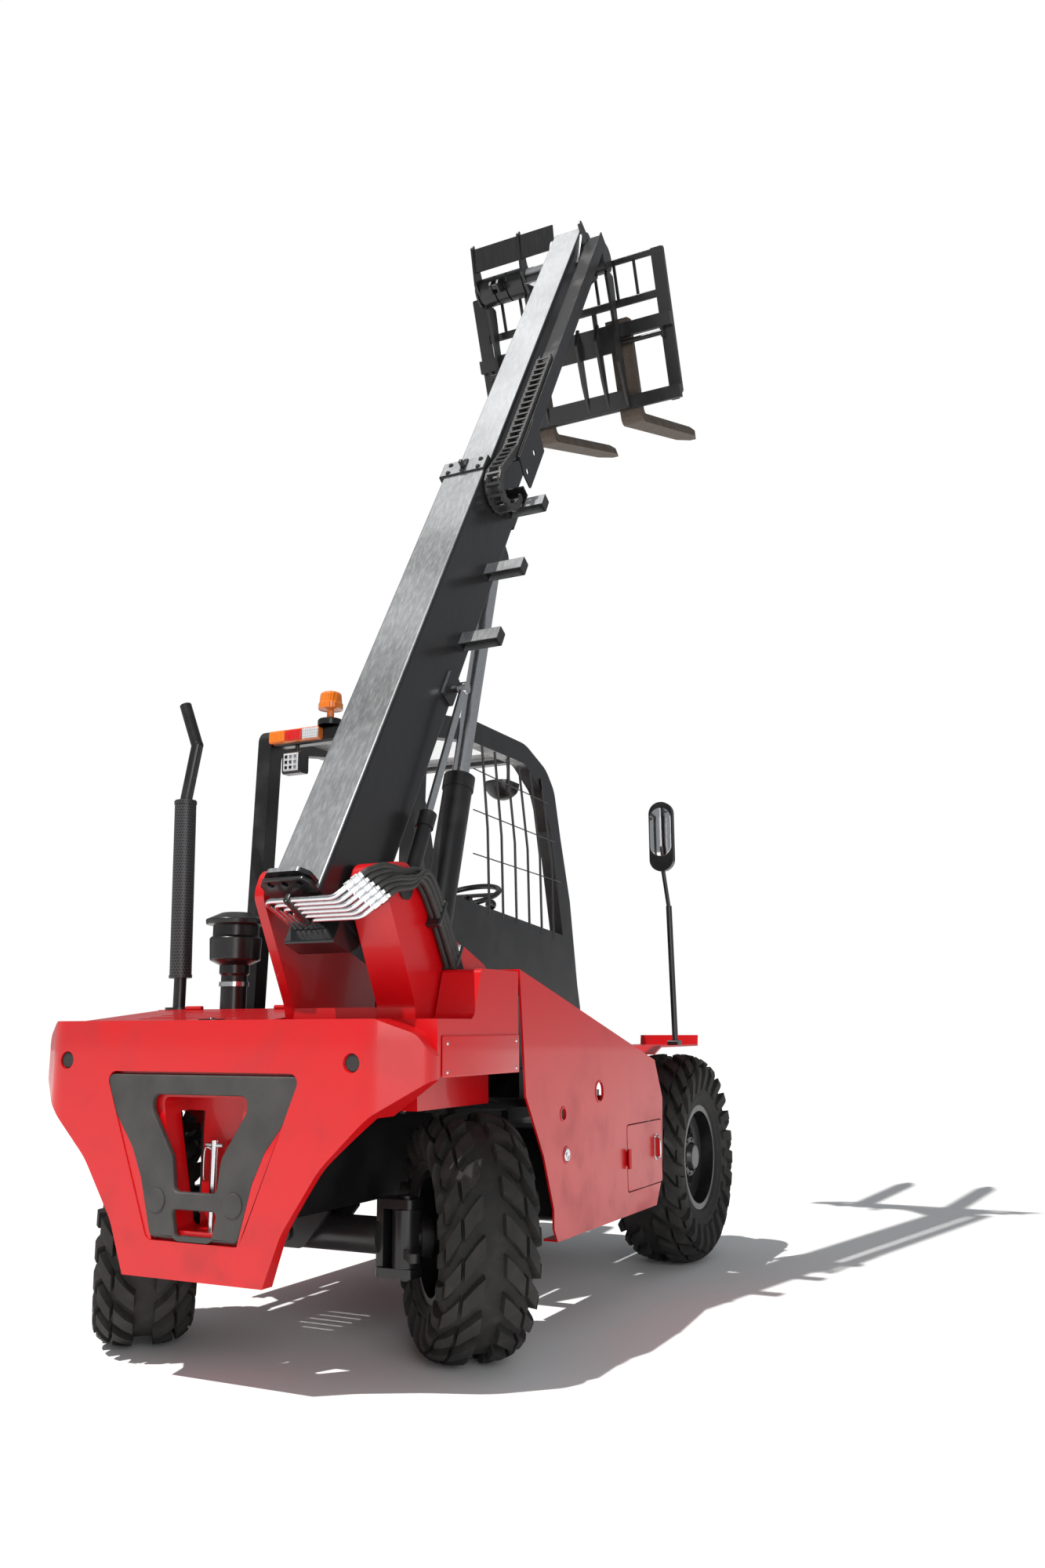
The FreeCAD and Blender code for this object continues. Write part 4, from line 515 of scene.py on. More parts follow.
def piped(path, radius, sides=14, ends=True):
    """A circle carried along a path without twist; radius is a number or one per point."""
    path = np.asarray(path, float)
    tangent = np.gradient(path, axis=0)
    tangent /= np.linalg.norm(tangent, axis=1)[:, None]
    normals = np.empty_like(path)
    guide = np.cross(tangent[0], (0.3, 0.5, 0.81))
    for k, way in enumerate(tangent):
        guide = guide - way * (guide @ way)
        guide /= np.linalg.norm(guide)
        normals[k] = guide
    other = np.cross(tangent, normals)
    angle = np.linspace(0, 2 * np.pi, sides, endpoint=False)[None, :, None]
    radius = np.broadcast_to(np.asarray(radius, float), (len(path),))[:, None, None]
    circle = normals[:, None] * np.cos(angle) + other[:, None] * np.sin(angle)
    rings = path[:, None] + radius * circle
    faces = [tuple(face) for face in grid_faces(len(path), sides, closed_columns=True)]
    if ends:
        last = (len(path) - 1) * sides
        faces += [tuple(range(sides))[::-1], tuple(range(last, last + sides))]
    return rings, faces


def corner_arc(before, here, after, radius):
    """Centre of the arc that rounds a corner, its start and end from there, and the half angle
    between the corner's two runs."""
    a, b = before - here, after - here
    a, b = a / np.linalg.norm(a), b / np.linalg.norm(b)
    half = math.acos(float(np.clip(a @ b, -1, 1))) / 2
    centre = here + (a + b) / np.linalg.norm(a + b) * radius / math.sin(half)
    return centre, *(here + way * radius / math.tan(half) - centre for way in (a, b)), half


def rounded(corners, steps=6):
    """Closed outline with an arc of the third number's radius at each corner (x, y, radius)."""
    out = []
    count = len(corners)
    for k in range(count):
        before, here, after = (np.array(corners[(k + j) % count][:2], float) for j in (-1, 0, 1))
        radius = corners[k][2] if len(corners[k]) > 2 else 0
        if not radius:
            out.append(here[None])
            continue
        centre, start, end, _ = corner_arc(before, here, after, radius)
        sweep = math.atan2(start[0] * end[1] - start[1] * end[0], start @ end)
        t = np.linspace(0, sweep, steps + 1)
        out.append(centre + np.outer(np.cos(t), start) + np.outer(np.sin(t), (-start[1], start[0])))
    return np.concatenate(out)


def ring_line(x, y, radius, count=32):
    """Circle round (x, y)."""
    angle = np.linspace(0, 2 * np.pi, count, endpoint=False)
    return np.stack([x + radius * np.cos(angle), y + radius * np.sin(angle)], -1)


def flat(outlines, depth, edge=1.5, steps=2):
    """A plate in the frame's y-z plane, from x 0 to depth: closed outlines, holes among them,
    filled and given a round edge."""
    curve = bpy.data.curves.new("outline", "CURVE")
    curve.dimensions, curve.fill_mode = "2D", "BOTH"
    curve.extrude = depth / 2 - edge
    curve.bevel_depth, curve.bevel_resolution, curve.offset = edge, steps, -edge
    for outline in outlines:
        spline = curve.splines.new("POLY")
        spline.points.add(len(outline) - 1)
        flat_points = np.zeros((len(outline), 4))
        flat_points[:, :2], flat_points[:, 3] = outline, 1
        spline.points.foreach_set("co", flat_points.ravel())
        spline.use_cyclic_u = True
    holder = bpy.data.objects.new("outline", curve)
    mesh = bpy.data.meshes.new_from_object(holder)
    points = np.empty(len(mesh.vertices) * 3)
    mesh.vertices.foreach_get("co", points)
    points = points.reshape(-1, 3)
    faces = [tuple(polygon.vertices) for polygon in mesh.polygons]
    bpy.data.objects.remove(holder)
    bpy.data.curves.remove(curve)
    bpy.data.meshes.remove(mesh)
    return np.stack([points[:, 2] + depth / 2, points[:, 0], points[:, 1]], -1), faces


def block(x, y, z, edge=2.0):
    """A box from three (low, high) pairs with rounded edges."""
    round_edge = min(edge * 1.6, (y[1] - y[0]) / 2.2, (z[1] - z[0]) / 2.2)
    points, faces = flat([rounded([(y[0], z[0], round_edge), (y[1], z[0], round_edge),
                                   (y[1], z[1], round_edge), (y[0], z[1], round_edge)], 3)],
                         x[1] - x[0], min(edge, (x[1] - x[0]) / 2.2))
    return points + (x[0], 0, 0), faces


def bolted(mesh, place, spots, radius, height, facing=(1, 0, 0), up=(0, 0, 1)):
    """Bolt heads standing at each spot of a frame, facing one way."""
    for spot in spots:
        for points, faces in bolt(radius, height):
            mesh.add(points, faces, place.at(*spot, along=facing, up=up))
    return mesh


# ---------------------------------------------------------------- operators
class HANDLER_OT_finishes(bpy.types.Operator):
    """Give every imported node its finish"""
    bl_idname = "handler.finishes"
    bl_label = "Finishes"

    def execute(self, context):
        for finish, names in NODE_FINISH.items():
            for name in names.split():
                mesh = NODES[name].data
                mesh.materials.clear()
                mesh.materials.append(finish_of(finish))
        return {"FINISHED"}


# millimetres: outside radius, width and bead radius of a tyre; bolt circle, hub radius, how far
# the hub cap stands out, and how many more lugs than the rear tyre has
WHEELS = {"rear": dict(radius=412.5, width=305, bead=209.5, circle=118, hub=62, stands=1, more=0),
          "front": dict(radius=495, width=320, bead=228.5, circle=138, hub=96, stands=24, more=4)}
DISC_FACE = 54          # the wheel disc's outer face from the wheel's middle


def wheel_place(end, side, sign):
    """A wheel's frame: x out along its axle, z up."""
    name = f"{end}_{side}_wheel"
    return Place(joint_place(name), np.array(JOINTS[name]["axis"]) * sign, (0, 0, 1))


def round_bolts(mesh, place, along, circle, angles, radius, height):
    """Bolt heads on a circle round a frame's x."""
    spots = [(along, circle * math.cos(a), circle * math.sin(a)) for a in angles]
    bolted(mesh, place, spots, radius, height)


class HANDLER_OT_tyres(bpy.types.Operator):
    """Four tyres with barred and blocked tread on bulged, ringed walls"""
    bl_idname = "handler.tyres"
    bl_label = "Tyres"

    def execute(self, context):
        lug = sizes().lug_height * 1000
        for end, wheel in WHEELS.items():
            radius, width = wheel["radius"] - lug, wheel["width"]
            for side, sign in SIDES:
                place = wheel_place(end, side, sign)
                mesh = Mesh()
                mesh.add(*turned(tyre_section(radius, width, wheel["bead"]), 144), place)
                for points, faces in tread(radius, width, lug, sizes().lug_count + wheel["more"]):
                    mesh.add(points, faces, place)
                mesh.piece(f"{end}_tyre_{side}_tread", f"{end}_wheel_{side}", "rubber", 32,
                           f"{end}_tyre_{side}")
        return {"FINISHED"}


def crown(radius, width):
    """The carcass outside: from one bead wall over the crown to the other, as the parameter goes
    from -1 to 1.  The crown is a shallow arc, the shoulders and walls a superellipse."""
    def at(s):
        s = np.asarray(s, float)
        turn = s * np.pi * 0.54
        wide = np.sign(turn) * np.abs(np.sin(turn)) ** 0.62
        tall = np.abs(np.cos(turn)) ** 0.62 * np.sign(np.cos(turn))
        return np.stack([wide * width / 2 * 0.985, radius - (1 - tall) * radius * 0.24], -1)
    return at


def tyre_section(radius, width, bead):
    """Closed section of the casing: crown arc, bulged walls with raised rings, bead and inside."""
    arc = crown(radius, width)(np.linspace(-1, 1, 41))
    side = arc[-1]
    t = np.linspace(0, 1, 15)[1:]
    wall = np.stack([side[0] - (side[0] - width / 2 + 30) * t ** 2.2,
                     side[1] - (side[1] - bead - 4) * t], -1)
    ring = np.zeros(len(t))
    ring[3:5], ring[9:11] = 3.0, 3.5
    wall[:, 0] += ring
    right = np.concatenate([wall, [(width / 2 - 34, bead), (width / 2 - 42, bead - 2)]])
    left = right[::-1] * (-1, 1)
    return np.concatenate([left, arc, right, left[:1]])


def tread(radius, width, lug, count):
    """Tread blocks: each is a patch of the crown between two turning angles and two places across,
    skewed and raised along the crown's normal, with sloping flanks."""
    at = crown(radius, width)
    pitch = 2 * np.pi / count
    u, v = np.meshgrid([0, 0.04, 0.27, 0.5, 0.73, 0.96, 1], [0, 0.09, 0.91, 1], indexing="ij")
    edge = (np.minimum(u * (1 - u), v * (1 - v)) > 0).astype(float)
    faces = grid_faces(7, 4)
    for side in (-1, 1):
        for number in range(count):
            base = pitch * (number + (0.5 if side > 0 else 0))
            # near edge, far edge, start angle, length, skew, height at the far edge
            for near, far, start, length, skew, tail in (
                    (0.045, 0.30, 0.10, 0.62, 0.62, 1.0),
                    (0.335, 0.60, 0.66, 0.60, 0.60, 1.0),
                    (0.635, 1.02, 0.26, 0.52, 0.34, 0.25)):
                across = near + (far - near) * u
                middle = (u - 0.5) * skew
                angle = base + pitch * (start + (v - 0.5) * length + middle)
                spot = at(side * across)
                ahead = at(side * (across + 0.01))
                normal = np.stack([-(ahead - spot)[..., 1], (ahead - spot)[..., 0]], -1) * side
                normal /= np.linalg.norm(normal, axis=-1)[..., None]
                rise = lug * (1 - (1 - tail) * u ** 2)
                top = spot + normal * (rise * edge)[..., None] - normal * (1 - edge)[..., None] * 4
                points = np.stack([top[..., 0], top[..., 1] * np.cos(angle),
                                   top[..., 1] * np.sin(angle)], -1)
                yield points, faces


class HANDLER_OT_wheels(bpy.types.Operator):
    """Hub caps, wheel nuts and a valve on each wheel disc"""
    bl_idname = "handler.wheels"
    bl_label = "Wheel nuts and caps"

    def execute(self, context):
        face = DISC_FACE
        for end, wheel in WHEELS.items():
            circle, hub, base = wheel["circle"], wheel["hub"], face + wheel["stands"]
            for side, sign in SIDES:
                place = wheel_place(end, side, sign)
                mesh = Mesh()
                mesh.add(*turned([(base, 0), (base, hub), (base + 10, hub), (base + 14, hub - 5),
                                  (base + 16, hub * 0.72), (base + 34, hub * 0.62),
                                  (base + 38, hub * 0.55), (base + 38, 0)], 40), place)
                if end == "front":
                    mesh.add(*turned([(face, hub + 2), (face, hub + 14), (face + 12, hub + 10),
                                      (face + 24, hub), (face + 24, hub - 6)], 40), place)
                angles = np.arange(8) * np.pi / 4 + 0.2
                round_bolts(mesh, place, face - 1, circle, angles, sizes().nut_radius * 1000, 20)
                round_bolts(mesh, place, base + 12, hub * 0.84, angles + 0.3, 6, 7)
                valve = place.at(face - 2, 0, circle + 34, along=(0.9, 0, 0.45), up=(0, 1, 0))
                mesh.add(*turned([(0, 0), (0, 6), (26, 6), (28, 5), (44, 5), (45, 0)], 14), valve)
                mesh.piece(f"{end}_hub_{side}", f"{end}_wheel_{side}", "black", 30)
        return {"FINISHED"}


class HANDLER_OT_tail(bpy.types.Operator):
    """Waisted rear grille, the filled recess round it, the two rubber plugs and the tow pin's clip"""
    bl_idname = "handler.tail"
    bl_label = "Rear grille and plugs"

    def execute(self, context):
        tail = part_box("rear_grille")[0].x
        thick, pin_stands = 26, 93          # the casting, and the tow pin's axis ahead of its face
        boss_y, boss_z = 158, 574
        eye_y, eye_z = 596, 1017            # the two plugged eyes of the weight

        def facing_back(ahead):
            """A frame looking back from a plane so many millimetres ahead of the grille's face."""
            return Place((tail + ahead / 1000, 0, 0), (-1, 0, 0), (0, 0, 1))
        place = facing_back(thick)

        def both(corners):
            """One side's corners and their mirror image, going round."""
            return corners + [(-x, y, *rest) for x, y, *rest in reversed(corners)]

        outer = both([(-402, 974, 26), (-404, 902, 40), (-276, 735, 70), (-232, 640, 120),
                      (-180, 458, 24)])
        window = both([(-196, 908, 26), (-196, 860, 50), (-100, 712, 60), (-86, 604, 22)])
        notch = both([(-92, 548, 14), (-74, 462, 22)])
        mesh = Mesh()
        mesh.add(*flat([rounded(outer), rounded(window), rounded(notch)], thick, 9, 5), place)
        for side in (-1, 1):
            mesh.add(*turned([(18, 0), (18, 40), (30, 38), (32, 34), (32, 0)], 40),
                     place.at(0, side * boss_y, boss_z))
        mesh.piece("rear_grille_casting", "chassis", "casting", 40, "rear_grille")
        fill = Mesh()
        left = rounded([(412, 984, 8), (188, 448, 8), (176, 452), (226, 640, 110), (270, 735, 60),
                        (400, 902, 30), (400, 976, 8)])
        for outline in (left, left * (-1, 1)):
            fill.add(*flat([outline], 24, 5, 3), place)
        fill.piece("grille_recess_fill", "chassis", "enamel", 35)
        plugs, rims = Mesh(), Mesh()
        for side in (-1, 1):
            spot = place.at(2, side * eye_y, eye_z)
            rims.add(*turned([(-3, 0), (-3, 47), (20, 42), (25, 38), (25, 33), (19, 29), (12, 28)],
                             44), spot)
            plugs.add(*turned([(8, 0), (8, 29), (17, 28), (20, 24), (20, 0)], 36), spot)
        rims.piece("weight_eye_rims", "chassis", "enamel", 35)
        plugs.piece("weight_eye_plugs", "chassis", "hose", 35)
        wire = [(0, -6, 728), (0, -34, 736), (0, -44, 716), (0, -44, 650), (0, -40, 632)]
        single("tow_pin_clip", "chassis", "steel", piped(smooth_path(wire), 3.2, 10),
               facing_back(pin_stands))
        single("weight_lifting_cap", "chassis", "black",
               turned([(0, 0), (0, 46), (4, 46), (6, 43), (6, 12), (9, 10), (9, 0)], 36),
               MACHINE.at(-470, 60, 1149, along=(0, 0, 1), up=(1, 0, 0)))
        return {"FINISHED"}


class HANDLER_OT_panels(bpy.types.Operator):
    """Screws, hole rims, lock and grip on the right-hand panels, and the cooling pipe"""
    bl_idname = "handler.panels"
    bl_label = "Panel fittings"

    def execute(self, context):
        skin = MACHINE.at(0, -806, 0, along=(0, -1, 0))
        plate_x, plate_z = (-400, 140), (968, 1098)     # the blank plate on the right rear box
        sight, plug, filler = (873, 868), (518, 802), (543, 652)
        grip_at = (1507, 600)

        def on(x, z, out=0.0):
            """A frame on the panels' skin, facing right, at x along the machine and z up."""
            return skin.at(out, x, z)
        screws = Mesh()
        for x, z in ((-368, 1074), (118, 1078), (-368, 985), (118, 985)):
            screws.add(*turned([(-2, 0), (-2, 8), (1.5, 8), (3.2, 5.5), (3.6, 0)], 20), on(x, z))
        screws.piece("box_screws", "chassis", "steel")
        corners = [(plate_x[0], plate_z[0], 6), (plate_x[1], plate_z[0], 6),
                   (plate_x[1], plate_z[1], 6), (plate_x[0], plate_z[1], 6)]
        single("box_plate", "chassis", "enamel", flat([rounded(corners)], 3, 1), on(0, 0, -0.6))
        rims = Mesh()
        circle = ring_line(0, 0, 1, 48)
        for middle, wide, tall in ((sight, 37, 38), (plug, 22, 22), (filler, 26, 26)):
            outer, inner = circle * (wide + 7, tall + 7), circle * (wide, tall)
            rims.add(*flat([outer + middle, inner + middle], 3, 1.2), on(0, 0, -0.5))
        rims.piece("hole_rims", "chassis", "enamel")
        single("filler_lock", "chassis", "steel",
               turned([(-6, 24), (3, 24), (5, 22), (5, 17), (3, 15), (3, 10), (6, 9), (6, 0)], 36),
               on(*filler))
        single("side_plug", "chassis", "hose",
               turned([(-22, 0), (-22, 26), (-8, 26), (-6, 20), (-6, 0)], 30), on(*plug))
        grip = Mesh()
        handle = [(1, 0, -44), (16, 0, -40), (19, 0, 0), (16, 0, 40), (1, 0, 44)]
        grip.add(*piped(smooth_path(handle), 6, 12), on(*grip_at, 2))
        grip.add(*flat([rounded([(-14, -56, 12), (14, -56, 12), (14, 56, 12), (-14, 56, 12)])], 3, 1),
                 on(*grip_at, 0.6))
        grip.piece("door_grip_cover", "side_door", "steel")
        pipe = Mesh()
        run = np.array([(-195, -428, 861), (-120, -452, 860), (-60, -472, 859), (29, -501, 858)])
        pipe.add(*piped(smooth_path(run), 24, 28), MACHINE)
        way = run[-1] - run[0]
        for t in (0.15, 0.55):
            pipe.add(*turned([(-9, 25), (-9, 28), (9, 28), (9, 25)], 30),
                     MACHINE.at(*(run[0] + t * way), along=way, up=(0, 0, 1)))
        pipe.piece("cooling_pipe", "chassis", "steel")
        run = [(20, -500, 858), (76, -512, 846), (112, -510, 780), (150, -470, 700)]
        single("cooling_hose", "chassis", "hose", piped(smooth_path(run), 28, 20), MACHINE)
        return {"FINISHED"}


def elbowed(points, radius, steps=6):
    """A path of straight runs with an arc of one radius at each inner point."""
    points = np.asarray(points, float)
    out = [points[:1]]
    t = np.linspace(0, 1, steps + 1)[:, None]
    for before, here, after in zip(points, points[1:], points[2:]):
        centre, start, end, half = corner_arc(before, here, after, radius)
        sweep = math.pi - 2 * half
        turn = np.sin((1 - t) * sweep) * start + np.sin(t * sweep) * end
        out.append(centre + turn / math.sin(sweep))
    out.append(points[-1:])
    return np.concatenate(out)


class HANDLER_OT_tubes(bpy.types.Operator):
    """Six bright tubes bent over the boom's tail, with their clamp and unions, and the hoses that
    hang from them down the tower"""
    bl_idname = "handler.tubes"
    bl_label = "Tail tubes and hoses"

    def execute(self, context):
        tubes, unions, hoses = Mesh(), Mesh(), Mesh()
        thick = sizes().hose_radius * 1000
        union = turned([(-26, 0), (-26, 14), (-4, 14), (-2, 12), (2, 12), (4, 15.5), (26, 15.5),
                        (28, 12), (40, 12), (40, 0)], 24, hexagon)
        apart = 22                          # between tubes where they leave the cover
        for number in range(6):
            across, top, right = 70 - apart * number, 226 - apart * number, -196 - 8 * number
            end = (-134, right - 44, top - 8)
            bends = elbowed([(-172, across, 44), (-194, across, top), (-194, right, top), end], 32)
            tubes.add(*piped(bends, 9, 16), BOOM)
            unions.add(*union, BOOM.at(*end, along=(60, -44, -8)))
            row, layer = 24 * (number % 3), 24 * (number // 3)
            drop = smooth_path([(-106, right - 64, top - 12), (-76, right - 82, top - 22),
                                (-14, -296 - layer, top - 92), (44 + row, -290 - layer, -60),
                                (-70 + row, -292 - layer, -314), (-160 + row, -288 - layer, -478)], 12)
            hoses.add(*piped(drop, thick, 14), BOOM)
        tubes.piece("tail_tubes", "boom", "steel", 50, "boom_tubes")
        unions.piece("tail_unions", "boom", "steel", 30)
        bends_over = ("chassis", "boom", BOOM((-110, -290, -400)), BOOM((-20, -200, 60)))
        hoses.piece("tower_hoses", bends_over, "hose")
        clamp = Mesh()
        clamp.add(*block((-206, -178), (-38, -14), (100, 240), 3), BOOM)
        bolted(clamp, BOOM, [(-206, -26, 112), (-206, -26, 230)], 7, 7, (-1, 0, 0))
        clamp.piece("tube_clamp", "boom", "black")
        band = Mesh()
        for along, high in ((-86, -350), (-20, -180)):
            band.add(*block((along - 12, along + 88), (-328, -274), (high - 9, high + 9), 3), BOOM)
        band.piece("hose_bands", bends_over, "black")
        return {"FINISHED"}


class HANDLER_OT_boom(bpy.types.Operator):
    """Lug plate, collar bolts and head pin caps on the boom"""
    bl_idname = "handler.boom"
    bl_label = "Boom fittings"

    def execute(self, context):
        holes = [ring_line(x, 14, 12, 24) for x in (-56, 0, 56)]
        outline = rounded([(-100, -34, 4), (100, -34, 4), (100, 14, 10), (78, 38, 12), (-78, 38, 12),
                           (-100, 14, 10)])
        single("tail_lug_plate", "boom", "black", flat([outline, *holes], 12, 1.5),
               BOOM.at(-132, 0, 226, along=(-1, 0, 0.1), up=(0.1, 0, 1)))
        collar, caps = Mesh(), Mesh()
        top, flank = 211, 104.5             # the collar's upper face and its sides
        for x in (2098, 2152):
            for side in (-1, 1):
                bolted(collar, BOOM, [(x, side * 74, top)], 9, 9, (0, 0, 1), (1, 0, 0))
                bolted(collar, BOOM, [(x, side * flank, z) for z in (120, 30)], 8, 8, (0, side, 0))
        collar.add(*block((2086, 2166), (-13, 13), (top, top + 11), 3), BOOM)
        collar.add(*block((2104, 2122), (-9, 9), (220, 252), 3), BOOM)
        collar.piece("collar_bolts", "boom", "black", 30)
        head_x, head_z = 4319, -25          # the axis that the carriage tilts on
        for side in (-1, 1):
            caps.add(*turned([(0, 0), (0, 15), (6, 15), (9, 11), (9, 0)], 24),
                     BOOM.at(head_x, side * 127.6, head_z, along=(0, side, 0)))
        caps.piece("head_pin_caps", "boom_inner", "steel")
        return {"FINISHED"}


class HANDLER_OT_engine(bpy.types.Operator):
    """Hood louvres and latch, exhaust guard mesh, air cleaner ribs and clamp"""
    bl_idname = "handler.engine"
    bl_label = "Engine bay fittings"

    def execute(self, context):
        blades = Mesh()
        front, rise = 1152, 44 / 397        # the hood's height at its rear edge, and its slope
        for number in range(5):
            middle = -285 + 60 * number
            high = front + (middle + 340) * rise - 10
            for shift in (-9, 3):
                blades.add(*block((-9, 9), (152, 558), (-1, 1), 0.8),
                           MACHINE.at(middle + shift, 0, high, along=(0.8, 0, 0.6)))
        blades.piece("hood_louvres", "engine_hood", "black")
        latch = Mesh()
        latch.add(*block((-394, -384), (310, 370), (1098, 1126), 3), MACHINE)
        latch.add(*turned([(0, 0), (0, 13), (6, 13), (8, 10), (8, 0)], 24),
                  MACHINE.at(-394, 340, 1112, along=(-1, 0, 0)))
        latch.piece("hood_latch", "engine_hood", "steel")
        guard = Mesh()
        stack = MACHINE.at(141, 756, 1330, along=(0, 21, 744), up=(1, 0, 0))
        low, high, inside, outside = -1, 746, 38, 44.5
        guard.add(*turned([(low, inside), (low, outside), (high, outside), (high, inside),
                           (low, inside)], 64), stack)
        for x in (4, 736):
            guard.add(*turned([(x - 6, 44), (x - 6, 47), (x + 6, 47), (x + 6, 44)], 48), stack)
        guard.piece("exhaust_guard_mesh", "chassis", "perforated", 30)
        low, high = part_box("air_cleaner_unit")
        cleaner = Place(((low.x + high.x) / 2, (low.y + high.y) / 2, 0), (0, 0, 1), (1, 0, 0))
        ribs = Mesh()
        for z in (1405, 1440, 1475):
            ribs.add(*turned([(z - 4, 74), (z - 3, 85), (z + 3, 85), (z + 4, 74)], 48), cleaner)
        ribs.piece("air_cleaner_ribs", "chassis", "black")
        single("air_cleaner_clamp", "chassis", "steel",
               turned([(1288, 40), (1288, 59), (1306, 59), (1306, 40)], 48), cleaner)
        return {"FINISHED"}


def swollen(piece, cap=0.014, voxel=0.009):
    """Fill a closed form as a stuffed cushion: remesh it, let cloth pressure swell it with no point
    moving further than cap, and keep the result."""
    remesh = piece.modifiers.new("even", "REMESH")
    remesh.mode, remesh.voxel_size = "VOXEL", voxel
    keep_evaluated(piece)
    rest = read_points(piece.data)
    cloth = piece.modifiers.new("fill", "CLOTH")
    cloth.settings.quality = 4
    cloth.settings.use_pressure = True
    cloth.settings.uniform_pressure_force = 4
    cloth.settings.effector_weights.gravity = 0
    for number in range(1, 21):
        bpy.context.scene.frame_set(number)
    keep_evaluated(piece)
    bpy.context.scene.frame_set(1)
    move = read_points(piece.data) - rest
    size = np.linalg.norm(move, axis=1, keepdims=True)
    write_points(piece.data, rest + move * np.minimum(1, cap / np.maximum(size, 1e-9)))
    piece.data.shade_smooth()
    return piece


def read_points(mesh):
    points = np.empty(len(mesh.vertices) * 3)
    mesh.vertices.foreach_get("co", points)
    return points.reshape(-1, 3)


def write_points(mesh, points):
    mesh.vertices.foreach_set("co", points.ravel())
    mesh.update()


def keep_evaluated(piece):
    """Replace a piece's mesh by what its modifiers make of it."""
    bpy.context.view_layer.update()
    made = bpy.data.meshes.new_from_object(piece.evaluated_get(bpy.context.evaluated_depsgraph_get()))
    piece.modifiers.clear()
    old, piece.data = piece.data, made
    bpy.data.meshes.remove(old)


SQUARE = 0.45           # the cushions' outline: a superellipse of this exponent


def power(a, p):
    """|a| to the power p, with the sign of a."""
    return np.sign(a) * np.abs(a) ** p


def pad_form(width, length, thick, dip=0.18, count=28):
    """A cushion as a superellipsoid: |x|^4+|y|^4 outline, crowned in z, its sides drawn in between
    the corners by dip."""
    u, v = np.meshgrid(np.linspace(0, 2 * np.pi, 2 * count, endpoint=False),
                       np.linspace(-np.pi / 2, np.pi / 2, count), indexing="ij")
    ring = power(np.cos(v), SQUARE)
    x, y = power(np.cos(u), SQUARE) * ring, power(np.sin(u), SQUARE) * ring
    z = power(np.sin(v), 0.8)
    pull = 1 - dip * 0.12 * (1 - np.abs(x * y))
    crown_over = 1.06 - 0.3 * (x ** 2 + y ** 2) / 2
    points = np.stack([z * thick / 2 * crown_over, x * width / 2 * pull, y * length / 2 * pull], -1)
    return points, grid_faces(2 * count, count, closed_rows=True)


def piping(width, length, high):
    """The cord sewn round a cushion: its outline once round, at one height."""
    turn = np.linspace(0, 2 * np.pi, 73)[:-1]
    loop = np.stack([np.full(72, high), power(np.cos(turn), SQUARE) * width / 2,
                     power(np.sin(turn), SQUARE) * length / 2], -1)
    return piped(np.concatenate([loop, loop[:1]]), 5, 10, ends=False)


class HANDLER_OT_seat(bpy.types.Operator):
    """Padded seat: cushion and backrest with piped seams on a black pan"""
    bl_idname = "handler.seat"
    bl_label = "Seat"

    def execute(self, context):
        pan = Mesh()
        pan.add(*block((760, 1120), (90, 410), (932, 1120), 14), MACHINE)
        pan.add(*block((720, 1205), (28, 472), (1116, 1146), 12), MACHINE)
        pan.add(*block((676, 694), (70, 430), (1230, 1640), 8), MACHINE)
        pan.piece("seat_pan", "chassis", "black", 35, "operator_seat")
        deep, thick, inset = 440, 84, 0.985     # both pads, and where their piping runs
        for name, place, width in (
                ("seat_cushion", MACHINE.at(960, 250, 1188, along=(0.06, 0, 1), up=(1, 0, 0)), 420),
                ("seat_back", MACHINE.at(742, 250, 1440, along=(1, 0, 0.12)), 400)):
            cushion = single(name, "chassis", "vinyl", pad_form(width, deep, thick), place, 80)
            swollen(cushion)
            single(f"{name}_piping", "chassis", "hose",
                   piping(width * inset, deep * inset, 6), place)
        return {"FINISHED"}


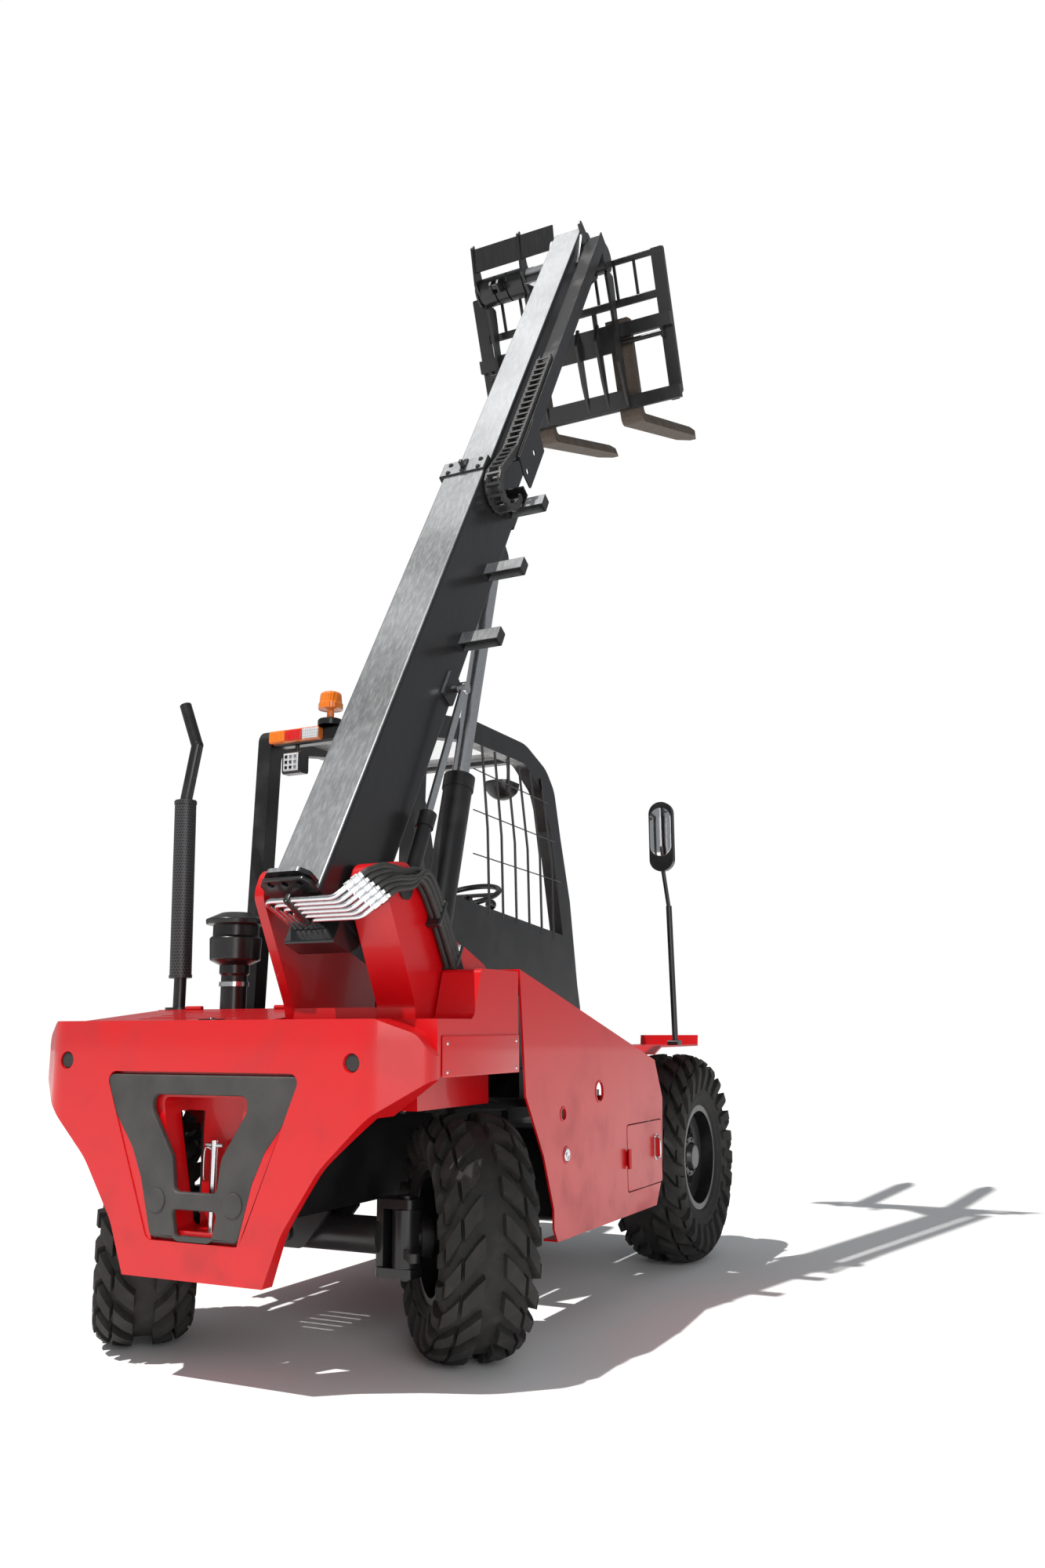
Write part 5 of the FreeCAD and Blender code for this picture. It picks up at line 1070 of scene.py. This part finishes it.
class HANDLER_OT_lamps(bpy.types.Operator):
    """Tail lamp lenses, work lamp, beacon base and the side mirror's glass"""
    bl_idname = "handler.lamps"
    bl_label = "Lamps and mirrors"

    def execute(self, context):
        def behind(node):
            """A node's corners in millimetres, and a frame on its rear face, looking back."""
            low, high = (corner * 1000 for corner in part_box(node))
            return low, high, Place((low.x / 1000, 0, 0), (-1, 0, 0), (0, 0, 1))

        low, high, rear = behind("tail_light")
        wide = (high.y - low.y) / 3
        for number, finish in enumerate(("lens", "tail", "amber")):
            start = low.y + wide * number
            single(f"tail_lens_{number}", "chassis", finish,
                   block((-2, 6), (-start - wide + 2, -start - 2), (low.z + 4, high.z - 4), 3), rear)
        low, high, rear = behind("work_lamp")
        middle, centre, half = -(low.y + high.y) / 2, low.z + 50, 40
        across, up = (middle - half, middle + half), (centre - half, centre + half)
        single("work_lamp_glass", "chassis", "lens", block((1, 5), across, up, 2), rear)
        lights = Mesh()
        for y in (-24, 0, 24):
            for z in (-24, 0, 24):
                lights.add(*turned([(4, 0), (4, 9), (7, 8), (7, 0)], 16),
                           rear.at(0, middle + y, centre + z))
        lights.piece("work_lamp_leds", "chassis", "mirror")
        low, high, _ = behind("warning_beacon")
        foot = low.z
        single("beacon_base", "chassis", "black",
               turned([(foot, 0), (foot, 55), (foot + 22, 55), (foot + 28, 50), (foot + 28, 0)], 40),
               Place(((low.x + high.x) / 2000, (low.y + high.y) / 2000, 0), (0, 0, 1), (1, 0, 0)))
        upper, lower, radius = 2117, 1987, 54   # the mirror's two half circles
        oval = np.concatenate([ring_line(0, upper, radius, 48)[:25],
                               ring_line(0, lower, radius, 48)[24:]])
        single("side_mirror_glass", "chassis", "mirror", flat([oval], 4, 1.5),
               MACHINE.at(1728, -790, 0, along=(-1, 0, 0)))
        return {"FINISHED"}


VIEW_FROM = (-3766, -2747, 1120)        # the camera's eye in the machine's frame
VIEW_TURN = (26.197, 11.433, -0.2165)   # its heading, pitch and roll in degrees
SENSOR, FOCAL = 36, 27.7074             # millimetres, along the frame's long side
SKY_STRENGTH = 0.28


class HANDLER_OT_stage(bpy.types.Operator):
    """Set the camera, floor, lamps and world"""
    bl_idname = "handler.stage"
    bl_label = "Stage"

    def execute(self, context):
        scene = context.scene
        scene.view_settings.view_transform = "Standard"
        lens = bpy.data.cameras.new("camera")
        lens.sensor_width, lens.lens, lens.clip_end = SENSOR, FOCAL, 200
        camera = bpy.data.objects.new("camera", lens)
        scene.collection.objects.link(camera)
        heading, pitch, roll = (math.radians(angle) for angle in VIEW_TURN)
        turn = (Matrix.Rotation(heading - math.pi / 2, 4, "Z")
                @ Matrix.Rotation(math.pi / 2 + pitch, 4, "X") @ Matrix.Rotation(roll, 4, "Z"))
        camera.matrix_world = Matrix.Translation(MACHINE(VIEW_FROM)) @ turn
        scene.camera = camera
        world = bpy.data.worlds.new("world")
        scene.world = world
        world.use_nodes = True
        tree = world.node_tree
        tree.nodes.clear()
        out = tree.nodes.new("ShaderNodeOutputWorld")
        mixer = tree.nodes.new("ShaderNodeMixShader")
        path = tree.nodes.new("ShaderNodeLightPath")
        sky, white = (tree.nodes.new("ShaderNodeBackground") for _ in range(2))
        sky.inputs["Color"].default_value = (0.93, 0.96, 1, 1)
        sky.inputs["Strength"].default_value = SKY_STRENGTH
        white.inputs["Color"].default_value = (1, 1, 1, 1)
        seen = tree.nodes.new("ShaderNodeMath")
        seen.operation, seen.use_clamp = "ADD", True
        for source, target in (
                (path.outputs["Is Camera Ray"], seen.inputs[0]),
                (path.outputs["Is Transmission Ray"], seen.inputs[1]),
                (seen.outputs[0], mixer.inputs[0]), (sky.outputs[0], mixer.inputs[1]),
                (white.outputs[0], mixer.inputs[2]), (mixer.outputs[0], out.inputs["Surface"])):
            tree.links.new(source, target)
        floor = bpy.data.meshes.new("floor")
        reach = 60.0
        corners = [(x * reach, y * reach, 0) for x, y in ((-1, -1), (1, -1), (1, 1), (-1, 1))]
        floor.from_pydata(corners, [], [(0, 1, 2, 3)])
        ground = bpy.data.objects.new("floor", floor)
        scene.collection.objects.link(ground)
        g = Graph("pale_floor")
        g.finish(None, Base_Color=(0.94, 0.94, 0.94), Roughness=0.95)
        floor.materials.append(g.material)
        for name, kind, spot, aim, power, size, warmth in (
                ("key", "SUN", (-4, 3, 12), (2, 0, 0), 3.6, 0.012, (1, 0.98, 0.95)),
                ("fill", "AREA", (-8, -7, 3.5), (0, 0, 1.5), 300, 5, (1, 1, 1))):
            lamp = bpy.data.lights.new(name, kind)
            lamp.energy, lamp.color = power, warmth
            if kind == "SUN":
                lamp.angle = size
            else:
                lamp.size = size
            holder = bpy.data.objects.new(name, lamp)
            holder.location = spot
            holder.rotation_euler = (Vector(aim) - Vector(spot)).to_track_quat("-Z", "Y").to_euler()
            scene.collection.objects.link(holder)
        return {"FINISHED"}


class HANDLER_PT_panel(bpy.types.Panel):
    """Lists the handler's operators"""
    bl_label = "Telescopic handler"
    bl_space_type = "VIEW_3D"
    bl_region_type = "UI"
    bl_category = "Handler"

    def draw(self, context):
        for operator in OPERATORS:
            self.layout.operator(operator.bl_idname)


OPERATORS = (HANDLER_OT_stage, HANDLER_OT_finishes, HANDLER_OT_tyres, HANDLER_OT_wheels,
             HANDLER_OT_tail, HANDLER_OT_panels, HANDLER_OT_tubes, HANDLER_OT_boom, HANDLER_OT_engine,
             HANDLER_OT_seat, HANDLER_OT_lamps)
CLASSES = (HandlerColours, HandlerSizes, *OPERATORS, HANDLER_PT_panel)


def register():
    for cls in CLASSES:
        bpy.utils.register_class(cls)
    bpy.types.Scene.handler_colours = PointerProperty(type=HandlerColours)
    bpy.types.Scene.handler_sizes = PointerProperty(type=HandlerSizes)


def unregister():
    del bpy.types.Scene.handler_sizes
    del bpy.types.Scene.handler_colours
    for cls in reversed(CLASSES):
        bpy.utils.unregister_class(cls)


def main():
    register()
    for operator in OPERATORS:
        group, name = operator.bl_idname.split(".")
        getattr(getattr(bpy.ops, group), name)()


if __name__ == "__main__":
    main()
